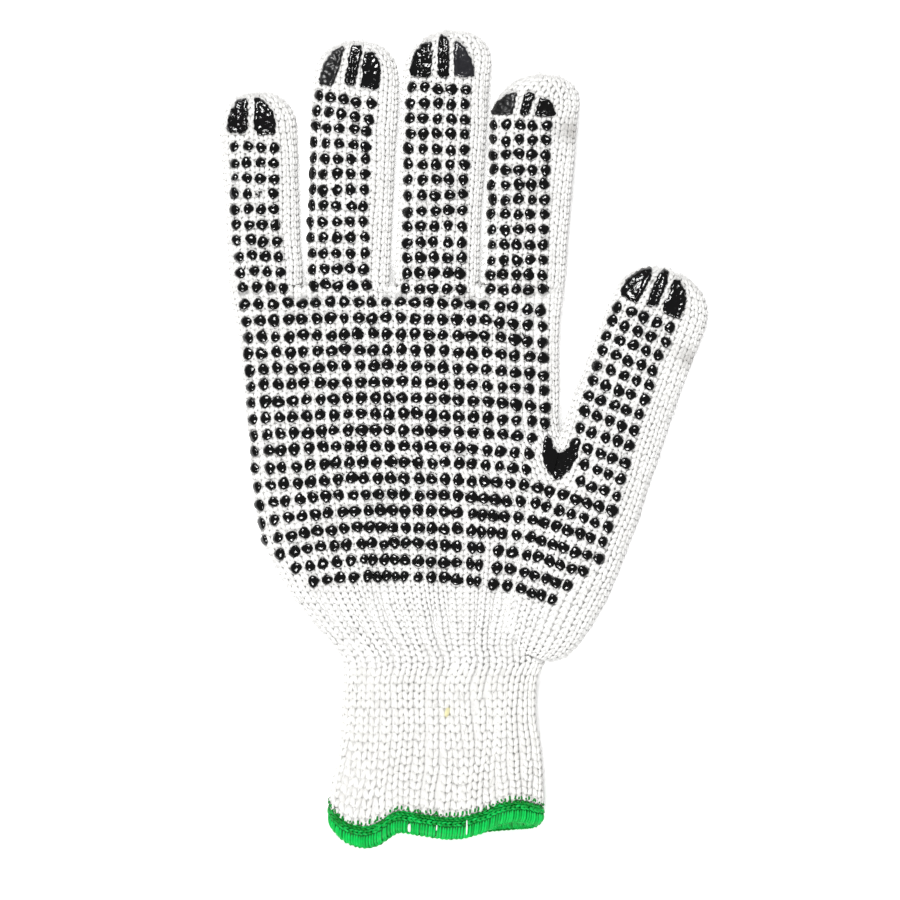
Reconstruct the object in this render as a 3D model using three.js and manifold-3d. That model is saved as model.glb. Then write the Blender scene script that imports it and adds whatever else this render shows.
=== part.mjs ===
// A seamless cotton string-knit work glove for the right hand, lying on its back with the dotted palm up.
// Frame: millimetres. +X points to the thumb side, +Y to the fingertips and +Z up, out of the palm.
// The origin is on the surface that it lies on, at the middle of the glove's plan.
// Every knitted tube is hollow and open to the next one, so that a hand can go in through the cuff.
import * as THREE from "three";
import { mergeVertices } from "three/addons/utils/BufferGeometryUtils.js";
import Module from "manifold-3d";

const wasm = await Module();
wasm.setup();

// Driving dimensions
const knitWall = 1.8;
const joinGap = 0.3;
const palmWidth = 103;
const palmLength = 115.6;
const palmHeight = 14;
const fingerLength = 80.2;
const fingerHeight = 12;
const fingerGap = 0.8;
const thumbLength = 95.4;
const thumbWidth = 32;
const thumbHeight = 13;
const thumbLean = 21;
const cuffWidth = 59.5;
const cuffLength = 44.5;
const cuffHeight = 13;
const cuffOffset = 14.3;
const ribCount = 40;
const ribDepth = 0.7;
const pleatCount = 11;
const pleatDepth = 1.3;
const hemHeight = 7.2;
const hemThickness = 3.2;
const hemWave = 4.3;
const padThickness = 0.7;
const padGap = 0.3;
const padSlot = 1.7;

// The four finger tubes. Length is a share of fingerLength. Width, root and tip are shares of the palm's
// width, with root and tip measured from its middle at the finger line. tipShift moves the round end
// sideways, as a share of the finger's own width.
const fingers = [
  { name: "little", length: 0.761, width: 0.229, root: -0.387, tip: -0.414, tipShift: 0.0 },
  { name: "ring", length: 0.958, width: 0.258, root: -0.143, tip: -0.113, tipShift: 0.02 },
  { name: "middle", length: 1.0, width: 0.26, root: 0.123, tip: 0.158, tipShift: 0.1 },
  { name: "index", length: 0.834, width: 0.26, root: 0.381, tip: 0.424, tipShift: 0.12 },
];

// A finger from its root up, before the round end: along is a share of the length,
// width and across (a sideways shift) are shares of the width.
const fingerRows = [
  { along: -0.14, width: 0.82, across: 0.0, top: 0.9 },
  { along: 0.0, width: 0.965, across: 0.0, top: 0.97 },
  { along: 0.22, width: 0.965, across: 0.0, top: 0.98 },
  { along: 0.46, width: 0.985, across: 0.0, top: 1.0 },
  { along: 0.66, width: 1.01, across: 0.0, top: 0.98 },
];

// The web between the fingers, from its top down: above is a share of the knit's wall, and flatten says
// how far the palm's section is pressed together there.
const webRows = [
  { above: 1.0, flatten: 0.32 },
  { above: 0.6, flatten: 0.12 },
];

// The palm from the finger line to the wrist. Left and right are shares of the palm's width, gather says
// how far the elastic cuff has drawn the palm in, and pleats are shares of their full depth.
const palmRows = [
  { along: 0.0, left: -0.498, right: 0.506, gather: 0.0, top: 0.88, pleats: 0.0 },
  { along: 0.1, left: -0.474, right: 0.49, gather: 0.0, top: 0.96, pleats: 0.0 },
  { along: 0.25, left: -0.453, right: 0.491, gather: 0.0, top: 0.99, pleats: 0.0 },
  { along: 0.38, left: -0.438, right: 0.494, gather: 0.0, top: 1.0, pleats: 0.0 },
  { along: 0.46, left: -0.43, right: 0.54, gather: 0.0, top: 1.0, pleats: 0.0 },
  { along: 0.57, left: -0.418, right: 0.58, gather: 0.0, top: 1.0, pleats: 0.1 },
  { along: 0.66, left: -0.405, right: 0.586, gather: 0.02, top: 1.0, pleats: 0.25 },
  { along: 0.72, left: -0.4, right: 0.586, gather: 0.1, top: 1.0, pleats: 0.5 },
  { along: 0.78, left: -0.4, right: 0.586, gather: 0.24, top: 0.99, pleats: 0.8 },
  { along: 0.83, left: -0.4, right: 0.586, gather: 0.38, top: 0.98, pleats: 1.0 },
  { along: 0.93, left: -0.4, right: 0.586, gather: 0.77, top: 0.94, pleats: 0.8 },
  { along: 0.965, left: -0.4, right: 0.586, gather: 0.93, top: 0.92, pleats: 0.6 },
  { along: 1.0, left: -0.4, right: 0.586, gather: 1.0, top: 0.9, pleats: 0.4 },
];

// The cuff from the wrist to the hem. Flare widens each side by a share of the cuff's width, wave is how
// much of the hem's wave a row takes up, ribs and pleats are shares of their full depths, and lift raises
// the underside by a share of the hem's overhang.
const cuffRows = [
  { along: 0.0, flareLeft: 0.0, flareRight: 0.0, top: 0.97, ribs: 1.0, pleats: 0.4, wave: 0.0, lift: 0.0 },
  { along: 0.36, flareLeft: 0.006, flareRight: 0.002, top: 0.94, ribs: 1.0, pleats: 0.2, wave: 0.06, lift: 0.0 },
  { along: 0.54, flareLeft: 0.024, flareRight: 0.024, top: 0.97, ribs: 1.0, pleats: 0.3, wave: 0.2, lift: 0.1 },
  { along: 0.72, flareLeft: 0.045, flareRight: 0.033, top: 1.02, ribs: 1.0, pleats: 0.4, wave: 0.45, lift: 0.4 },
  { along: 0.88, flareLeft: 0.068, flareRight: 0.036, top: 1.09, ribs: 0.8, pleats: 0.4, wave: 0.78, lift: 0.8 },
  { along: 1.0, flareLeft: 0.076, flareRight: 0.036, top: 1.15, ribs: 0.5, pleats: 0.4, wave: 1.0, lift: 1.0 },
];

// The thumb tube, whose lower end lies inside the heel of the palm.
const thumbRoot = { x: 0.503, along: 0.72 };
const thumbRows = [
  { along: -0.325, width: 0.5, across: 0.0, top: 0.85 },
  { along: -0.29, width: 0.74, across: 0.0, top: 0.98 },
  { along: -0.19, width: 0.95, across: 0.0, top: 1.08 },
  { along: -0.02, width: 1.07, across: 0.0, top: 1.16 },
  { along: 0.17, width: 1.06, across: 0.01, top: 1.12 },
  { along: 0.37, width: 0.98, across: 0.02, top: 1.03 },
  { along: 0.54, width: 0.965, across: 0.008, top: 0.98 },
  { along: 0.7, width: 0.95, across: 0.0, top: 1.0 },
];

// The moulded pads on the finger and thumb tips. Width, height and strip are shares of the finger's own
// width, fromTip is how far the pad's straight edge lies below the tip. Lean turns the whole pad on the
// finger and slotLean turns its slots on the pad, both in degrees towards the thumb side.
const pads = [
  { finger: "little", width: 0.61, height: 0.5, fromTip: 0.6, across: -0.07, strip: 0, lean: 0, slotLean: 0 },
  { finger: "ring", width: 0.7, height: 0.51, fromTip: 0.55, across: -0.07, strip: 0.14, lean: 5, slotLean: 4 },
  { finger: "middle", width: 0.73, height: 0.48, fromTip: 0.58, across: -0.04, strip: 0.14, lean: -2, slotLean: 0 },
  { finger: "index", width: 0.74, height: 0.3, fromTip: 0.51, across: -0.11, strip: 0.12, lean: -3, slotLean: 17 },
  { finger: "thumb", width: 0.62, height: 0.42, fromTip: 0.43, across: -0.09, strip: 0.12, lean: 4, slotLean: -6 },
];

// The moulded crescent below the thumb's crotch, as shares of its size from the bottom of the crotch.
const crescentWidth = 11.6;
const crescentDrop = 15.6;
const crescentRows = [
  { x: -0.42, y: -0.13 },
  { x: -0.51, y: -0.38 },
  { x: -0.48, y: -0.54 },
  { x: -0.42, y: -0.73 },
  { x: -0.32, y: -0.89 },
  { x: -0.14, y: -1.0 },
  { x: -0.02, y: -0.99 },
  { x: 0.22, y: -0.81 },
  { x: 0.45, y: -0.54 },
  { x: 0.48, y: -0.35 },
  { x: 0.41, y: -0.25 },
  { x: 0.29, y: -0.3 },
  { x: 0.06, y: -0.49 },
  { x: -0.1, y: -0.49 },
  { x: -0.24, y: -0.36 },
  { x: -0.23, y: -0.21 },
  { x: -0.32, y: -0.12 },
];

// The hem's wave once round the cuff, from the thumb side over the palm side: drop is towards -Y.
const hemRows = [
  { around: 0.0, drop: -0.3 },
  { around: 0.037, drop: -0.65 },
  { around: 0.058, drop: -0.86 },
  { around: 0.09, drop: -0.57 },
  { around: 0.121, drop: 0.14 },
  { around: 0.163, drop: 0.43 },
  { around: 0.227, drop: 0.29 },
  { around: 0.29, drop: 0.0 },
  { around: 0.33, drop: 0.0 },
  { around: 0.351, drop: 0.35 },
  { around: 0.373, drop: 0.85 },
  { around: 0.4, drop: 1.07 },
  { around: 0.428, drop: 0.93 },
  { around: 0.45, drop: 0.5 },
  { around: 0.474, drop: -0.3 },
  { around: 0.5, drop: -0.6 },
  { around: 0.56, drop: -0.3 },
  { around: 0.66, drop: 0.0 },
  { around: 0.8, drop: 0.1 },
  { around: 0.9, drop: -0.1 },
  { around: 0.96, drop: -0.25 },
  { around: 1.0, drop: -0.3 },
];

// How the flattened tubes are shaped and how finely they are faceted
const palmSquareness = 3.0;
const tubeSquareness = 2.5;
const undersideFlattening = 1.25;
const ovalMiddle = 0.45;
const sidesAroundCuff = 2 * ribCount;
const sidesAroundPalm = 60;
const sidesAroundPalmHollow = 28;
const sidesAroundFinger = 20;
const sidesAroundFingerHollow = 12;
const samplesPerOval = 360;
const tipSteps = 4;
const tipSquareness = 2.3;
const tipRise = 0.46;
const tipTopRounding = 0.75;
const tipUnderRounding = 0.5;
const tipBluntness = 0.25;
const mergeDistance = 1e-4;
const padArcSteps = 7;
const padSquareness = 2.2;

const cuffLeft = cuffOffset - cuffWidth / 2;
const cuffRight = cuffOffset + cuffWidth / 2;
const hemOverhang = (hemThickness - knitWall) / 2;
const wristY = -palmLength;
const hemY = wristY - cuffLength;

// Reads a table's columns at a place between its rows, along a smooth curve through them.
function readTable(rows, key, place) {
  const last = rows.length - 1;
  let i = rows.findIndex((row) => row[key] > place) - 1;
  if (i < 0) i = place <= rows[0][key] ? 0 : last - 1;
  const a = rows[i];
  const b = rows[i + 1];
  const before = rows[Math.max(i - 1, 0)];
  const after = rows[Math.min(i + 2, last)];
  const step = b[key] - a[key];
  const t = THREE.MathUtils.clamp((place - a[key]) / step, 0, 1);
  const result = {};
  for (const column of Object.keys(a)) {
    const slopeA = ((b[column] - before[column]) / (b[key] - before[key])) * step;
    const slopeB = ((after[column] - a[column]) / (after[key] - a[key])) * step;
    const t2 = t * t;
    const t3 = t2 * t;
    result[column] =
      (2 * t3 - 3 * t2 + 1) * a[column] +
      (t3 - 2 * t2 + t) * slopeA +
      (3 * t2 - 2 * t3) * b[column] +
      (t3 - t2) * slopeB;
  }
  return result;
}

// A flattened oval with a flat underside, as points at equal steps of its own length. It starts on the
// +X side and goes over the top. Each point is a Vector2 of x and z.
function ovalRing({ left, right, bottom, top, squareness, sides }) {
  const middleX = (left + right) / 2;
  const halfWidth = (right - left) / 2;
  const middleZ = bottom + (top - bottom) * ovalMiddle;
  const power = 2 / squareness;
  const outline = [];
  for (let i = 0; i < samplesPerOval; i++) {
    const angle = (2 * Math.PI * i) / samplesPerOval;
    const across = Math.sign(Math.cos(angle)) * Math.abs(Math.cos(angle)) ** power;
    const up = Math.abs(Math.sin(angle)) ** power;
    const z =
      angle <= Math.PI
        ? middleZ + (top - middleZ) * up
        : middleZ - (middleZ - bottom) * Math.min(1, undersideFlattening * up);
    outline.push(new THREE.Vector2(middleX + halfWidth * across, z));
  }
  outline.push(outline[0].clone());
  const lengths = [0];
  for (let i = 1; i < outline.length; i++) {
    lengths.push(lengths[i - 1] + outline[i].distanceTo(outline[i - 1]));
  }
  const ring = [];
  let from = 0;
  for (let i = 0; i < sides; i++) {
    const target = (lengths.at(-1) * i) / sides;
    while (lengths[from + 1] < target) from++;
    const share = (target - lengths[from]) / (lengths[from + 1] - lengths[from]);
    ring.push(outline[from].clone().lerp(outline[from + 1], share));
  }
  return ring;
}

// The outward direction of a ring at each of its points, in the ring's own plane.
function ringNormals(ring) {
  return ring.map((_, i) => {
    const along = ring[(i + 1) % ring.length].clone().sub(ring.at(i - 1));
    return new THREE.Vector2(along.y, -along.x).normalize();
  });
}

// A closed mesh from rings of 3-D points. A solid has a flat cap at both ends; a pipe is a list of rings
// that closes on itself.
function skin(rings, closesOnItself) {
  const sides = rings[0].length;
  const points = rings.flat();
  const triangles = [];
  const bands = closesOnItself ? rings.length : rings.length - 1;
  for (let r = 0; r < bands; r++) {
    const next = ((r + 1) % rings.length) * sides;
    for (let i = 0; i < sides; i++) {
      const j = (i + 1) % sides;
      triangles.push(r * sides + i, r * sides + j, next + i);
      triangles.push(r * sides + j, next + j, next + i);
    }
  }
  if (!closesOnItself) {
    for (const [r, turn] of [[0, false], [rings.length - 1, true]]) {
      const centre = new THREE.Vector3();
      rings[r].forEach((p) => centre.addScaledVector(p, 1 / sides));
      const middle = points.push(centre) - 1;
      for (let i = 0; i < sides; i++) {
        const a = r * sides + i;
        const b = r * sides + ((i + 1) % sides);
        triangles.push(middle, turn ? a : b, turn ? b : a);
      }
    }
  }
  const geometry = new THREE.BufferGeometry().setFromPoints(points);
  geometry.setIndex(triangles);
  return geometry;
}

// Turns a closed geometry into a solid that can be joined and cut.
function toSolid(geometry) {
  const bare = geometry.clone();
  bare.deleteAttribute("normal");
  bare.deleteAttribute("uv");
  const merged = mergeVertices(bare, mergeDistance);
  return new wasm.Manifold(
    new wasm.Mesh({
      numProp: 3,
      vertProperties: new Float32Array(merged.attributes.position.array),
      triVerts: new Uint32Array(merged.index.array),
    }),
  );
}

// Turns a solid back into a geometry of loose triangles.
function toGeometry(solid) {
  const mesh = solid.getMesh();
  const geometry = new THREE.BufferGeometry();
  geometry.setAttribute("position", new THREE.BufferAttribute(mesh.vertProperties, 3));
  geometry.setIndex(new THREE.BufferAttribute(mesh.triVerts, 1));
  const loose = geometry.toNonIndexed();
  loose.computeVertexNormals();
  return loose;
}

// One ring of the palm or cuff: inset is how far it lies inside the knit's outer face. The palm's hollow
// is smooth, and everything else follows the pleats.
function bodyRing(y, inset, sides) {
  const onPalm = y >= wristY;
  const row = onPalm
    ? readTable(palmRows, "along", -y / palmLength)
    : readTable(cuffRows, "along", (wristY - y) / cuffLength);
  const gather = onPalm ? row.gather : 1;
  const flareLeft = onPalm ? 0 : row.flareLeft * cuffWidth;
  const flareRight = onPalm ? 0 : row.flareRight * cuffWidth;
  const height = onPalm ? row.top * palmHeight : row.top * cuffHeight;
  const palmLeft = onPalm ? row.left * palmWidth : 0;
  const palmRight = onPalm ? row.right * palmWidth : 0;
  const lift = onPalm ? 0 : row.lift * hemOverhang;
  const pleats = row.pleats * pleatDepth;
  const smooth = inset > 0 && onPalm;
  const inside = smooth ? inset + pleats / 2 : inset;
  const ring = ovalRing({
    left: THREE.MathUtils.lerp(palmLeft, cuffLeft, gather) - flareLeft + inside,
    right: THREE.MathUtils.lerp(palmRight, cuffRight, gather) + flareRight - inside,
    bottom: lift + inside,
    top: height - inside,
    squareness: palmSquareness,
    sides,
  });
  if (smooth) return ring.map((p) => new THREE.Vector3(p.x, y, p.y));
  const normals = ringNormals(ring);
  return ring.map((p, i) => {
    const share = i / sides;
    const pleat = 0.5 - 0.5 * Math.cos(2 * Math.PI * pleatCount * share);
    const groove = inset === 0 && !onPalm && i % 2 === 1 ? row.ribs * ribDepth : 0;
    const sunk = pleats * pleat + groove;
    const x = p.x - normals[i].x * sunk;
    const z = p.y - normals[i].y * sunk;
    const wave = onPalm ? 0 : row.wave * hemWave * readTable(hemRows, "around", share).drop;
    return new THREE.Vector3(x, y - wave, z);
  });
}

// A tube that is closed by a round end, along an axis in plan. Place gives its root and lean, and a tube
// with an inset is the hollow of one without.
function tubeRings({ rows, length, width, height, tipShift, place }, inset, sides) {
  const tipRadius = width * rows.at(-1).width * 0.5;
  const tipStart = length - tipRadius;
  const rings = [];
  const addRing = (along, left, right, bottom, top) => {
    const ring = ovalRing({ left, right, bottom, top, squareness: tubeSquareness, sides });
    const base = new THREE.Vector3(0, along, 0);
    rings.push(ring.map((p) => new THREE.Vector3(p.x, 0, p.y).add(base).applyMatrix4(place)));
  };
  rows.forEach((row, i) => {
    const half = (row.width * width) / 2 - inset;
    const side = row.across * width;
    const along = row.along * length + (i === 0 ? inset : 0);
    addRing(along, side - half, side + half, inset, row.top * height - inset);
  });
  const middle = tipRise * height;
  const top = rows.at(-1).top * height;
  for (let step = 0; step <= tipSteps; step++) {
    const angle = ((Math.PI / 2) * Math.min(step, tipSteps - tipBluntness)) / tipSteps;
    const reach = Math.sin(angle) ** (2 / tipSquareness);
    const close = Math.cos(angle) ** (2 / tipSquareness);
    const shift = tipShift * width * reach;
    const half = (tipRadius - inset) * close;
    const over = (top - middle - inset) * close ** tipTopRounding;
    const under = (middle - inset) * close ** tipUnderRounding;
    addRing(
      tipStart + (tipRadius - inset) * reach,
      shift - half,
      shift + half,
      middle - under,
      middle + over,
    );
  }
  return rings.reverse();
}

// A place in plan with a lean towards the thumb side.
function placeFrom(x, y, leanDegrees) {
  return new THREE.Matrix4()
    .makeTranslation(x, y, 0)
    .multiply(new THREE.Matrix4().makeRotationZ(-THREE.MathUtils.degToRad(leanDegrees)));
}

const fingerTubes = fingers.map((finger) => {
  const rootX = finger.root * palmWidth;
  const tipX = finger.tip * palmWidth;
  const length = finger.length * fingerLength;
  const lean = THREE.MathUtils.radToDeg(Math.atan2(tipX - rootX, length));
  return {
    ...finger,
    rows: fingerRows,
    length,
    height: fingerHeight,
    width: finger.width * palmWidth - fingerGap / 2,
    place: placeFrom(rootX, 0, lean),
  };
});

const thumbTube = {
  name: "thumb",
  rows: thumbRows,
  length: thumbLength,
  width: thumbWidth,
  height: thumbHeight,
  tipShift: 0,
  place: placeFrom(thumbRoot.x * palmWidth, -thumbRoot.along * palmLength, thumbLean),
};

// The solid inside one of a tube's faces.
function tubeSolid(tube, inset, sides) {
  return toSolid(skin(tubeRings(tube, inset, sides), false));
}

// The palm, closed above by the web between the fingers, and open below when it is the hollow.
function palmSolid(inset, sides) {
  const fingerLine = bodyRing(0, inset, sides);
  const middleZ = fingerLine.reduce((sum, p) => sum + p.z, 0) / sides;
  const rings = webRows.map((row) =>
    fingerLine.map((p) => {
      const z = THREE.MathUtils.lerp(p.z, middleZ, row.flatten);
      return new THREE.Vector3(p.x, row.above * knitWall - inset, z);
    }),
  );
  for (const row of palmRows) {
    rings.push(bodyRing(-row.along * palmLength - (row.along === 0 ? inset : 0), inset, sides));
  }
  if (inset > 0) {
    rings.push(rings.at(-1).map((p) => new THREE.Vector3(p.x, p.y - knitWall, p.z)));
  }
  return toSolid(skin(rings, false));
}

// A block in plan, from a start along an axis, that is wide to both sides and taller than the glove.
function block(place, start, left, right, length) {
  const tall = 4 * palmHeight;
  const box = new THREE.BoxGeometry(right - left, length, tall);
  box.translate((left + right) / 2, start + length / 2, 0);
  box.applyMatrix4(place);
  return toSolid(box);
}

// A prism of an outline in plan that keeps the palm side of what it meets.
function palmSidePrism(shape, place) {
  const prism = new THREE.ExtrudeGeometry(shape, { depth: 2 * palmHeight, bevelEnabled: false });
  prism.translate(0, 0, fingerHeight * ovalMiddle);
  prism.applyMatrix4(place);
  return toSolid(prism);
}

// How far up the thumb its inner edge comes clear of the palm: the crotch between the two.
function thumbCrotchAlong() {
  const searchStep = 0.25;
  for (let along = 0; along < thumbLength; along += searchStep) {
    const row = readTable(thumbRows, "along", along / thumbLength);
    const side = (row.across - row.width / 2) * thumbWidth;
    const edge = new THREE.Vector3(side, along, 0).applyMatrix4(thumbTube.place);
    const palm = readTable(palmRows, "along", Math.max(0, -edge.y / palmLength));
    if (edge.x > palm.right * palmWidth + joinGap) return along;
  }
  return thumbLength / 2;
}

const tubes = [...fingerTubes, thumbTube];
const flatPlace = new THREE.Matrix4();
const far = 2 * palmWidth;
const crotchAlong = thumbCrotchAlong();
const thumbJoin = crotchAlong + 2 * joinGap;
const joinRow = readTable(thumbRows, "along", thumbJoin / thumbLength);
const thumbInnerEdge = (joinRow.across - joinRow.width / 2) * thumbWidth;

// The knit's outer face, grown outwards by an amount.
function outerFace(grow) {
  return tubes.reduce(
    (whole, tube) => whole.add(tubeSolid(tube, -grow, sidesAroundFinger)),
    palmSolid(-grow, sidesAroundPalm),
  );
}

// The one hollow that the hand goes into.
function handHollow() {
  return tubes.reduce(
    (whole, tube) => whole.add(tubeSolid(tube, knitWall, sidesAroundFingerHollow)),
    palmSolid(knitWall, sidesAroundPalmHollow),
  );
}

// The palm body: the whole hand less what belongs to the fingers and the thumb.
function palmBody() {
  const aboveFingers = block(flatPlace, knitWall, -far, far, far);
  const thumbSide = block(thumbTube.place, thumbJoin - joinGap, thumbInnerEdge - joinGap, far, far);
  return outerFace(0).subtract(handHollow()).subtract(aboveFingers).subtract(thumbSide);
}

// One finger's tube, from just above the palm body to its closed tip.
function fingerTube(tube) {
  const above = block(flatPlace, knitWall + joinGap, -far, far, far);
  const shell = tubeSolid(tube, 0, sidesAroundFinger).subtract(
    tubeSolid(tube, knitWall, sidesAroundFingerHollow),
  );
  return shell.intersect(above);
}

// The thumb's tube, from just above the crotch to its closed tip.
function thumbTubeBody() {
  const beyond = block(thumbTube.place, thumbJoin, -far, far, far);
  const shell = tubeSolid(thumbTube, 0, sidesAroundFinger).subtract(
    tubeSolid(thumbTube, knitWall, sidesAroundFingerHollow),
  );
  return shell.intersect(beyond);
}

// The ribbed cuff: an outer skin down to the hem, round the edge and back up inside.
function cuffBody() {
  const rowPlaces = cuffRows.map((row) => wristY - row.along * cuffLength - (row.along === 0 ? joinGap : 0));
  const outer = rowPlaces.map((y) => bodyRing(y, 0, sidesAroundCuff));
  const inner = rowPlaces.map((y) => bodyRing(y, knitWall, sidesAroundCuff));
  return toSolid(skin([...outer, ...inner.reverse()], true));
}

// The overlocked hem: a rounded band that follows the wavy end of the cuff.
function hemBody() {
  const outerEdge = bodyRing(hemY, 0, sidesAroundCuff);
  const innerEdge = bodyRing(hemY, knitWall, sidesAroundCuff);
  const half = hemThickness / 2;
  const round = hemThickness / 3;
  const section = [
    [-half, round],
    [-half, hemHeight - round],
    [round - half, hemHeight],
    [half - round, hemHeight],
    [half, hemHeight - round],
    [half, round],
    [half - round, 0],
    [round - half, 0],
  ];
  const stations = outerEdge.map((outer, i) => {
    const outward = outer.clone().sub(innerEdge[i]).normalize();
    const middle = outer.clone().add(innerEdge[i]).multiplyScalar(0.5);
    return section.map(([out, down]) => {
      const p = middle.clone().addScaledVector(outward, out);
      return new THREE.Vector3(p.x, p.y - joinGap - down, Math.max(p.z, 0));
    });
  });
  return toSolid(skin(stations, true));
}

// The pads of one tip: an arched outline with a straight lower edge, split by slots. Left is away from
// the thumb.
function tipPads(pad) {
  const tube = tubes.find((t) => t.name === pad.finger);
  const half = (pad.width * tube.width) / 2;
  const height = pad.height * tube.width;
  const arch = [new THREE.Vector2(-half, 0), new THREE.Vector2(half, 0)];
  for (let i = 1; i < padArcSteps; i++) {
    const angle = (Math.PI * i) / padArcSteps;
    const x = Math.sign(Math.cos(angle)) * Math.abs(Math.cos(angle)) ** (2 / padSquareness);
    arch.push(new THREE.Vector2(half * x, height * Math.sin(angle) ** (2 / padSquareness)));
  }
  const place = tube.place
    .clone()
    .multiply(placeFrom(pad.across * tube.width, tube.length - pad.fromTip * tube.width, pad.lean));
  const grown = (by) => tubeSolid(tube, -by, sidesAroundFinger);
  const layer = grown(padGap + padThickness).subtract(grown(padGap));
  let field = layer.intersect(palmSidePrism(new THREE.Shape(arch), place));
  const stripHalf = (pad.strip * tube.width) / 2;
  const slotMiddles = pad.strip > 0 ? [-stripHalf - padSlot / 2, stripHalf + padSlot / 2] : [0];
  const slotPlace = place.clone().multiply(placeFrom(0, height / 2, pad.slotLean));
  for (const slotMiddle of slotMiddles) {
    field = field.subtract(
      block(slotPlace, -2 * height, slotMiddle - padSlot / 2, slotMiddle + padSlot / 2, 4 * height),
    );
  }
  const sides = pad.strip > 0 ? ["left", "middle", "right"] : ["left", "right"];
  const pieces = field.decompose().sort((a, b) => a.boundingBox().min[0] - b.boundingBox().min[0]);
  return pieces.map((piece, i) => ({ name: `${pad.finger}_tip_pad_${sides[i]}`, solid: piece }));
}

// The crescent on the palm side, just below the thumb's crotch.
function crotchCrescent() {
  const corner = new THREE.Vector3(thumbInnerEdge, crotchAlong, 0).applyMatrix4(thumbTube.place);
  const outline = crescentRows.map((p) => new THREE.Vector2(p.x * crescentWidth, p.y * crescentDrop));
  const prism = palmSidePrism(new THREE.Shape(outline), placeFrom(corner.x, corner.y, 0));
  const layer = outerFace(padGap + padThickness).subtract(outerFace(padGap));
  return layer.intersect(prism);
}

// Materials: undyed bleached cotton, green overlock yarn and black moulded vinyl
const cotton = new THREE.MeshStandardMaterial({ color: 0xf1efeb, roughness: 0.95, metalness: 0 });
const greenYarn = new THREE.MeshStandardMaterial({ color: 0x12a83c, roughness: 0.8, metalness: 0 });
const blackVinyl = new THREE.MeshStandardMaterial({ color: 0x161616, roughness: 0.3, metalness: 0 });

const glove = new THREE.Group();

function addPart(name, solid, material) {
  const mesh = new THREE.Mesh(toGeometry(solid), material);
  mesh.name = name;
  glove.add(mesh);
}

addPart("palm_body", palmBody(), cotton);
fingerTubes.forEach((tube) => addPart(`${tube.name}_finger`, fingerTube(tube), cotton));
addPart("thumb", thumbTubeBody(), cotton);
addPart("rib_cuff", cuffBody(), cotton);
addPart("overlock_hem", hemBody(), greenYarn);
pads.flatMap(tipPads).forEach((pad) => addPart(pad.name, pad.solid, blackVinyl));
addPart("crotch_crescent", crotchCrescent(), blackVinyl);

// The origin goes to the middle of the plan, on the surface that the glove lies on.
const extent = new THREE.Box3().setFromObject(glove);
const middle = extent.getCenter(new THREE.Vector3());
glove.position.set(-middle.x, -middle.y, 0);

export default glove;
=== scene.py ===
# A seamless cotton string-knit work glove for the right hand, lying on its back with the dotted palm up.
# The knit is laid stitch by stitch over the glove's own surface. Places and lengths are in millimetres
# from the middle of the finger line, as the solids' are, and a mesh is made in metres.
import math

import bmesh
import bpy
import numpy as np
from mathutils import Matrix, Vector, noise
from mathutils.bvhtree import BVHTree
from mathutils.kdtree import KDTree


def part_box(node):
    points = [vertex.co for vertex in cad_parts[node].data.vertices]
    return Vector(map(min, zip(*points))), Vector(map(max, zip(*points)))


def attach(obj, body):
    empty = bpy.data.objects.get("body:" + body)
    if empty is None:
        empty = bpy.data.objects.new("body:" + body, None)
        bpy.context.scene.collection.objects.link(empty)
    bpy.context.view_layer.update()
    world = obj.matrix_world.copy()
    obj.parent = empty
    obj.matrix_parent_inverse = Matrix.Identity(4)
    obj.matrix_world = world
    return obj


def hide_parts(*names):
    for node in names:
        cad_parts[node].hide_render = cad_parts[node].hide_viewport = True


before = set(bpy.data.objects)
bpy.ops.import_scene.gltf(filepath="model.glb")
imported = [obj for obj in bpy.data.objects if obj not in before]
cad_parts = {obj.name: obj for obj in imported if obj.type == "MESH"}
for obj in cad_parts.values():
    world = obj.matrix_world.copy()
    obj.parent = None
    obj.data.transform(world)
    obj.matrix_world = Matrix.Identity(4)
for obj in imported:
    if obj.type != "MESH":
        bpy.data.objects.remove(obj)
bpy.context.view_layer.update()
bpy.ops.object.select_all(action="DESELECT")
chance = np.random.default_rng(7)

# The glove's form. It is the solids' own, with the cuff's place and the hem's wave fitted more closely.
# The rows of its tables hold shares of the lengths named here.

knit_wall = 1.8
palm_width, palm_length, palm_height = 103.0, 115.6, 14.0
finger_length, finger_height, finger_gap = 80.2, 12.0, 0.8
thumb_length, thumb_width, thumb_height, thumb_lean = 95.4, 32.0, 13.0, 21.0
cuff_width, cuff_length, cuff_height, cuff_offset = 59.5, 44.5, 13.0, 13.6
pleat_count, pleat_depth = 11, 1.3
hem_height, hem_thickness, hem_wave = 7.2, 3.2, 4.3
join_gap = 0.3
# How square the palm's and the tubes' sections are, and how high their widest part lies
palm_squareness, tube_squareness = 3.0, 2.5
oval_middle, tip_middle = 0.45, 0.46
# How far below the finger line the palm's top starts to fall to the webs
web_reach = 7.0
# The last gathers bunch over the rib on the thumb's side: how far, how high over the wrist and how long
bunch_size, bunch_height, bunch_length = 2.6, 1.4, 4.0

# name, length, width, root, tip, tip shift
fingers = [
    ("little", 0.761, 0.229, -0.387, -0.414, 0.0),
    ("ring", 0.958, 0.258, -0.143, -0.113, 0.02),
    ("middle", 1.0, 0.26, 0.123, 0.158, 0.1),
    ("index", 0.834, 0.26, 0.381, 0.424, 0.12),
]
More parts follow.
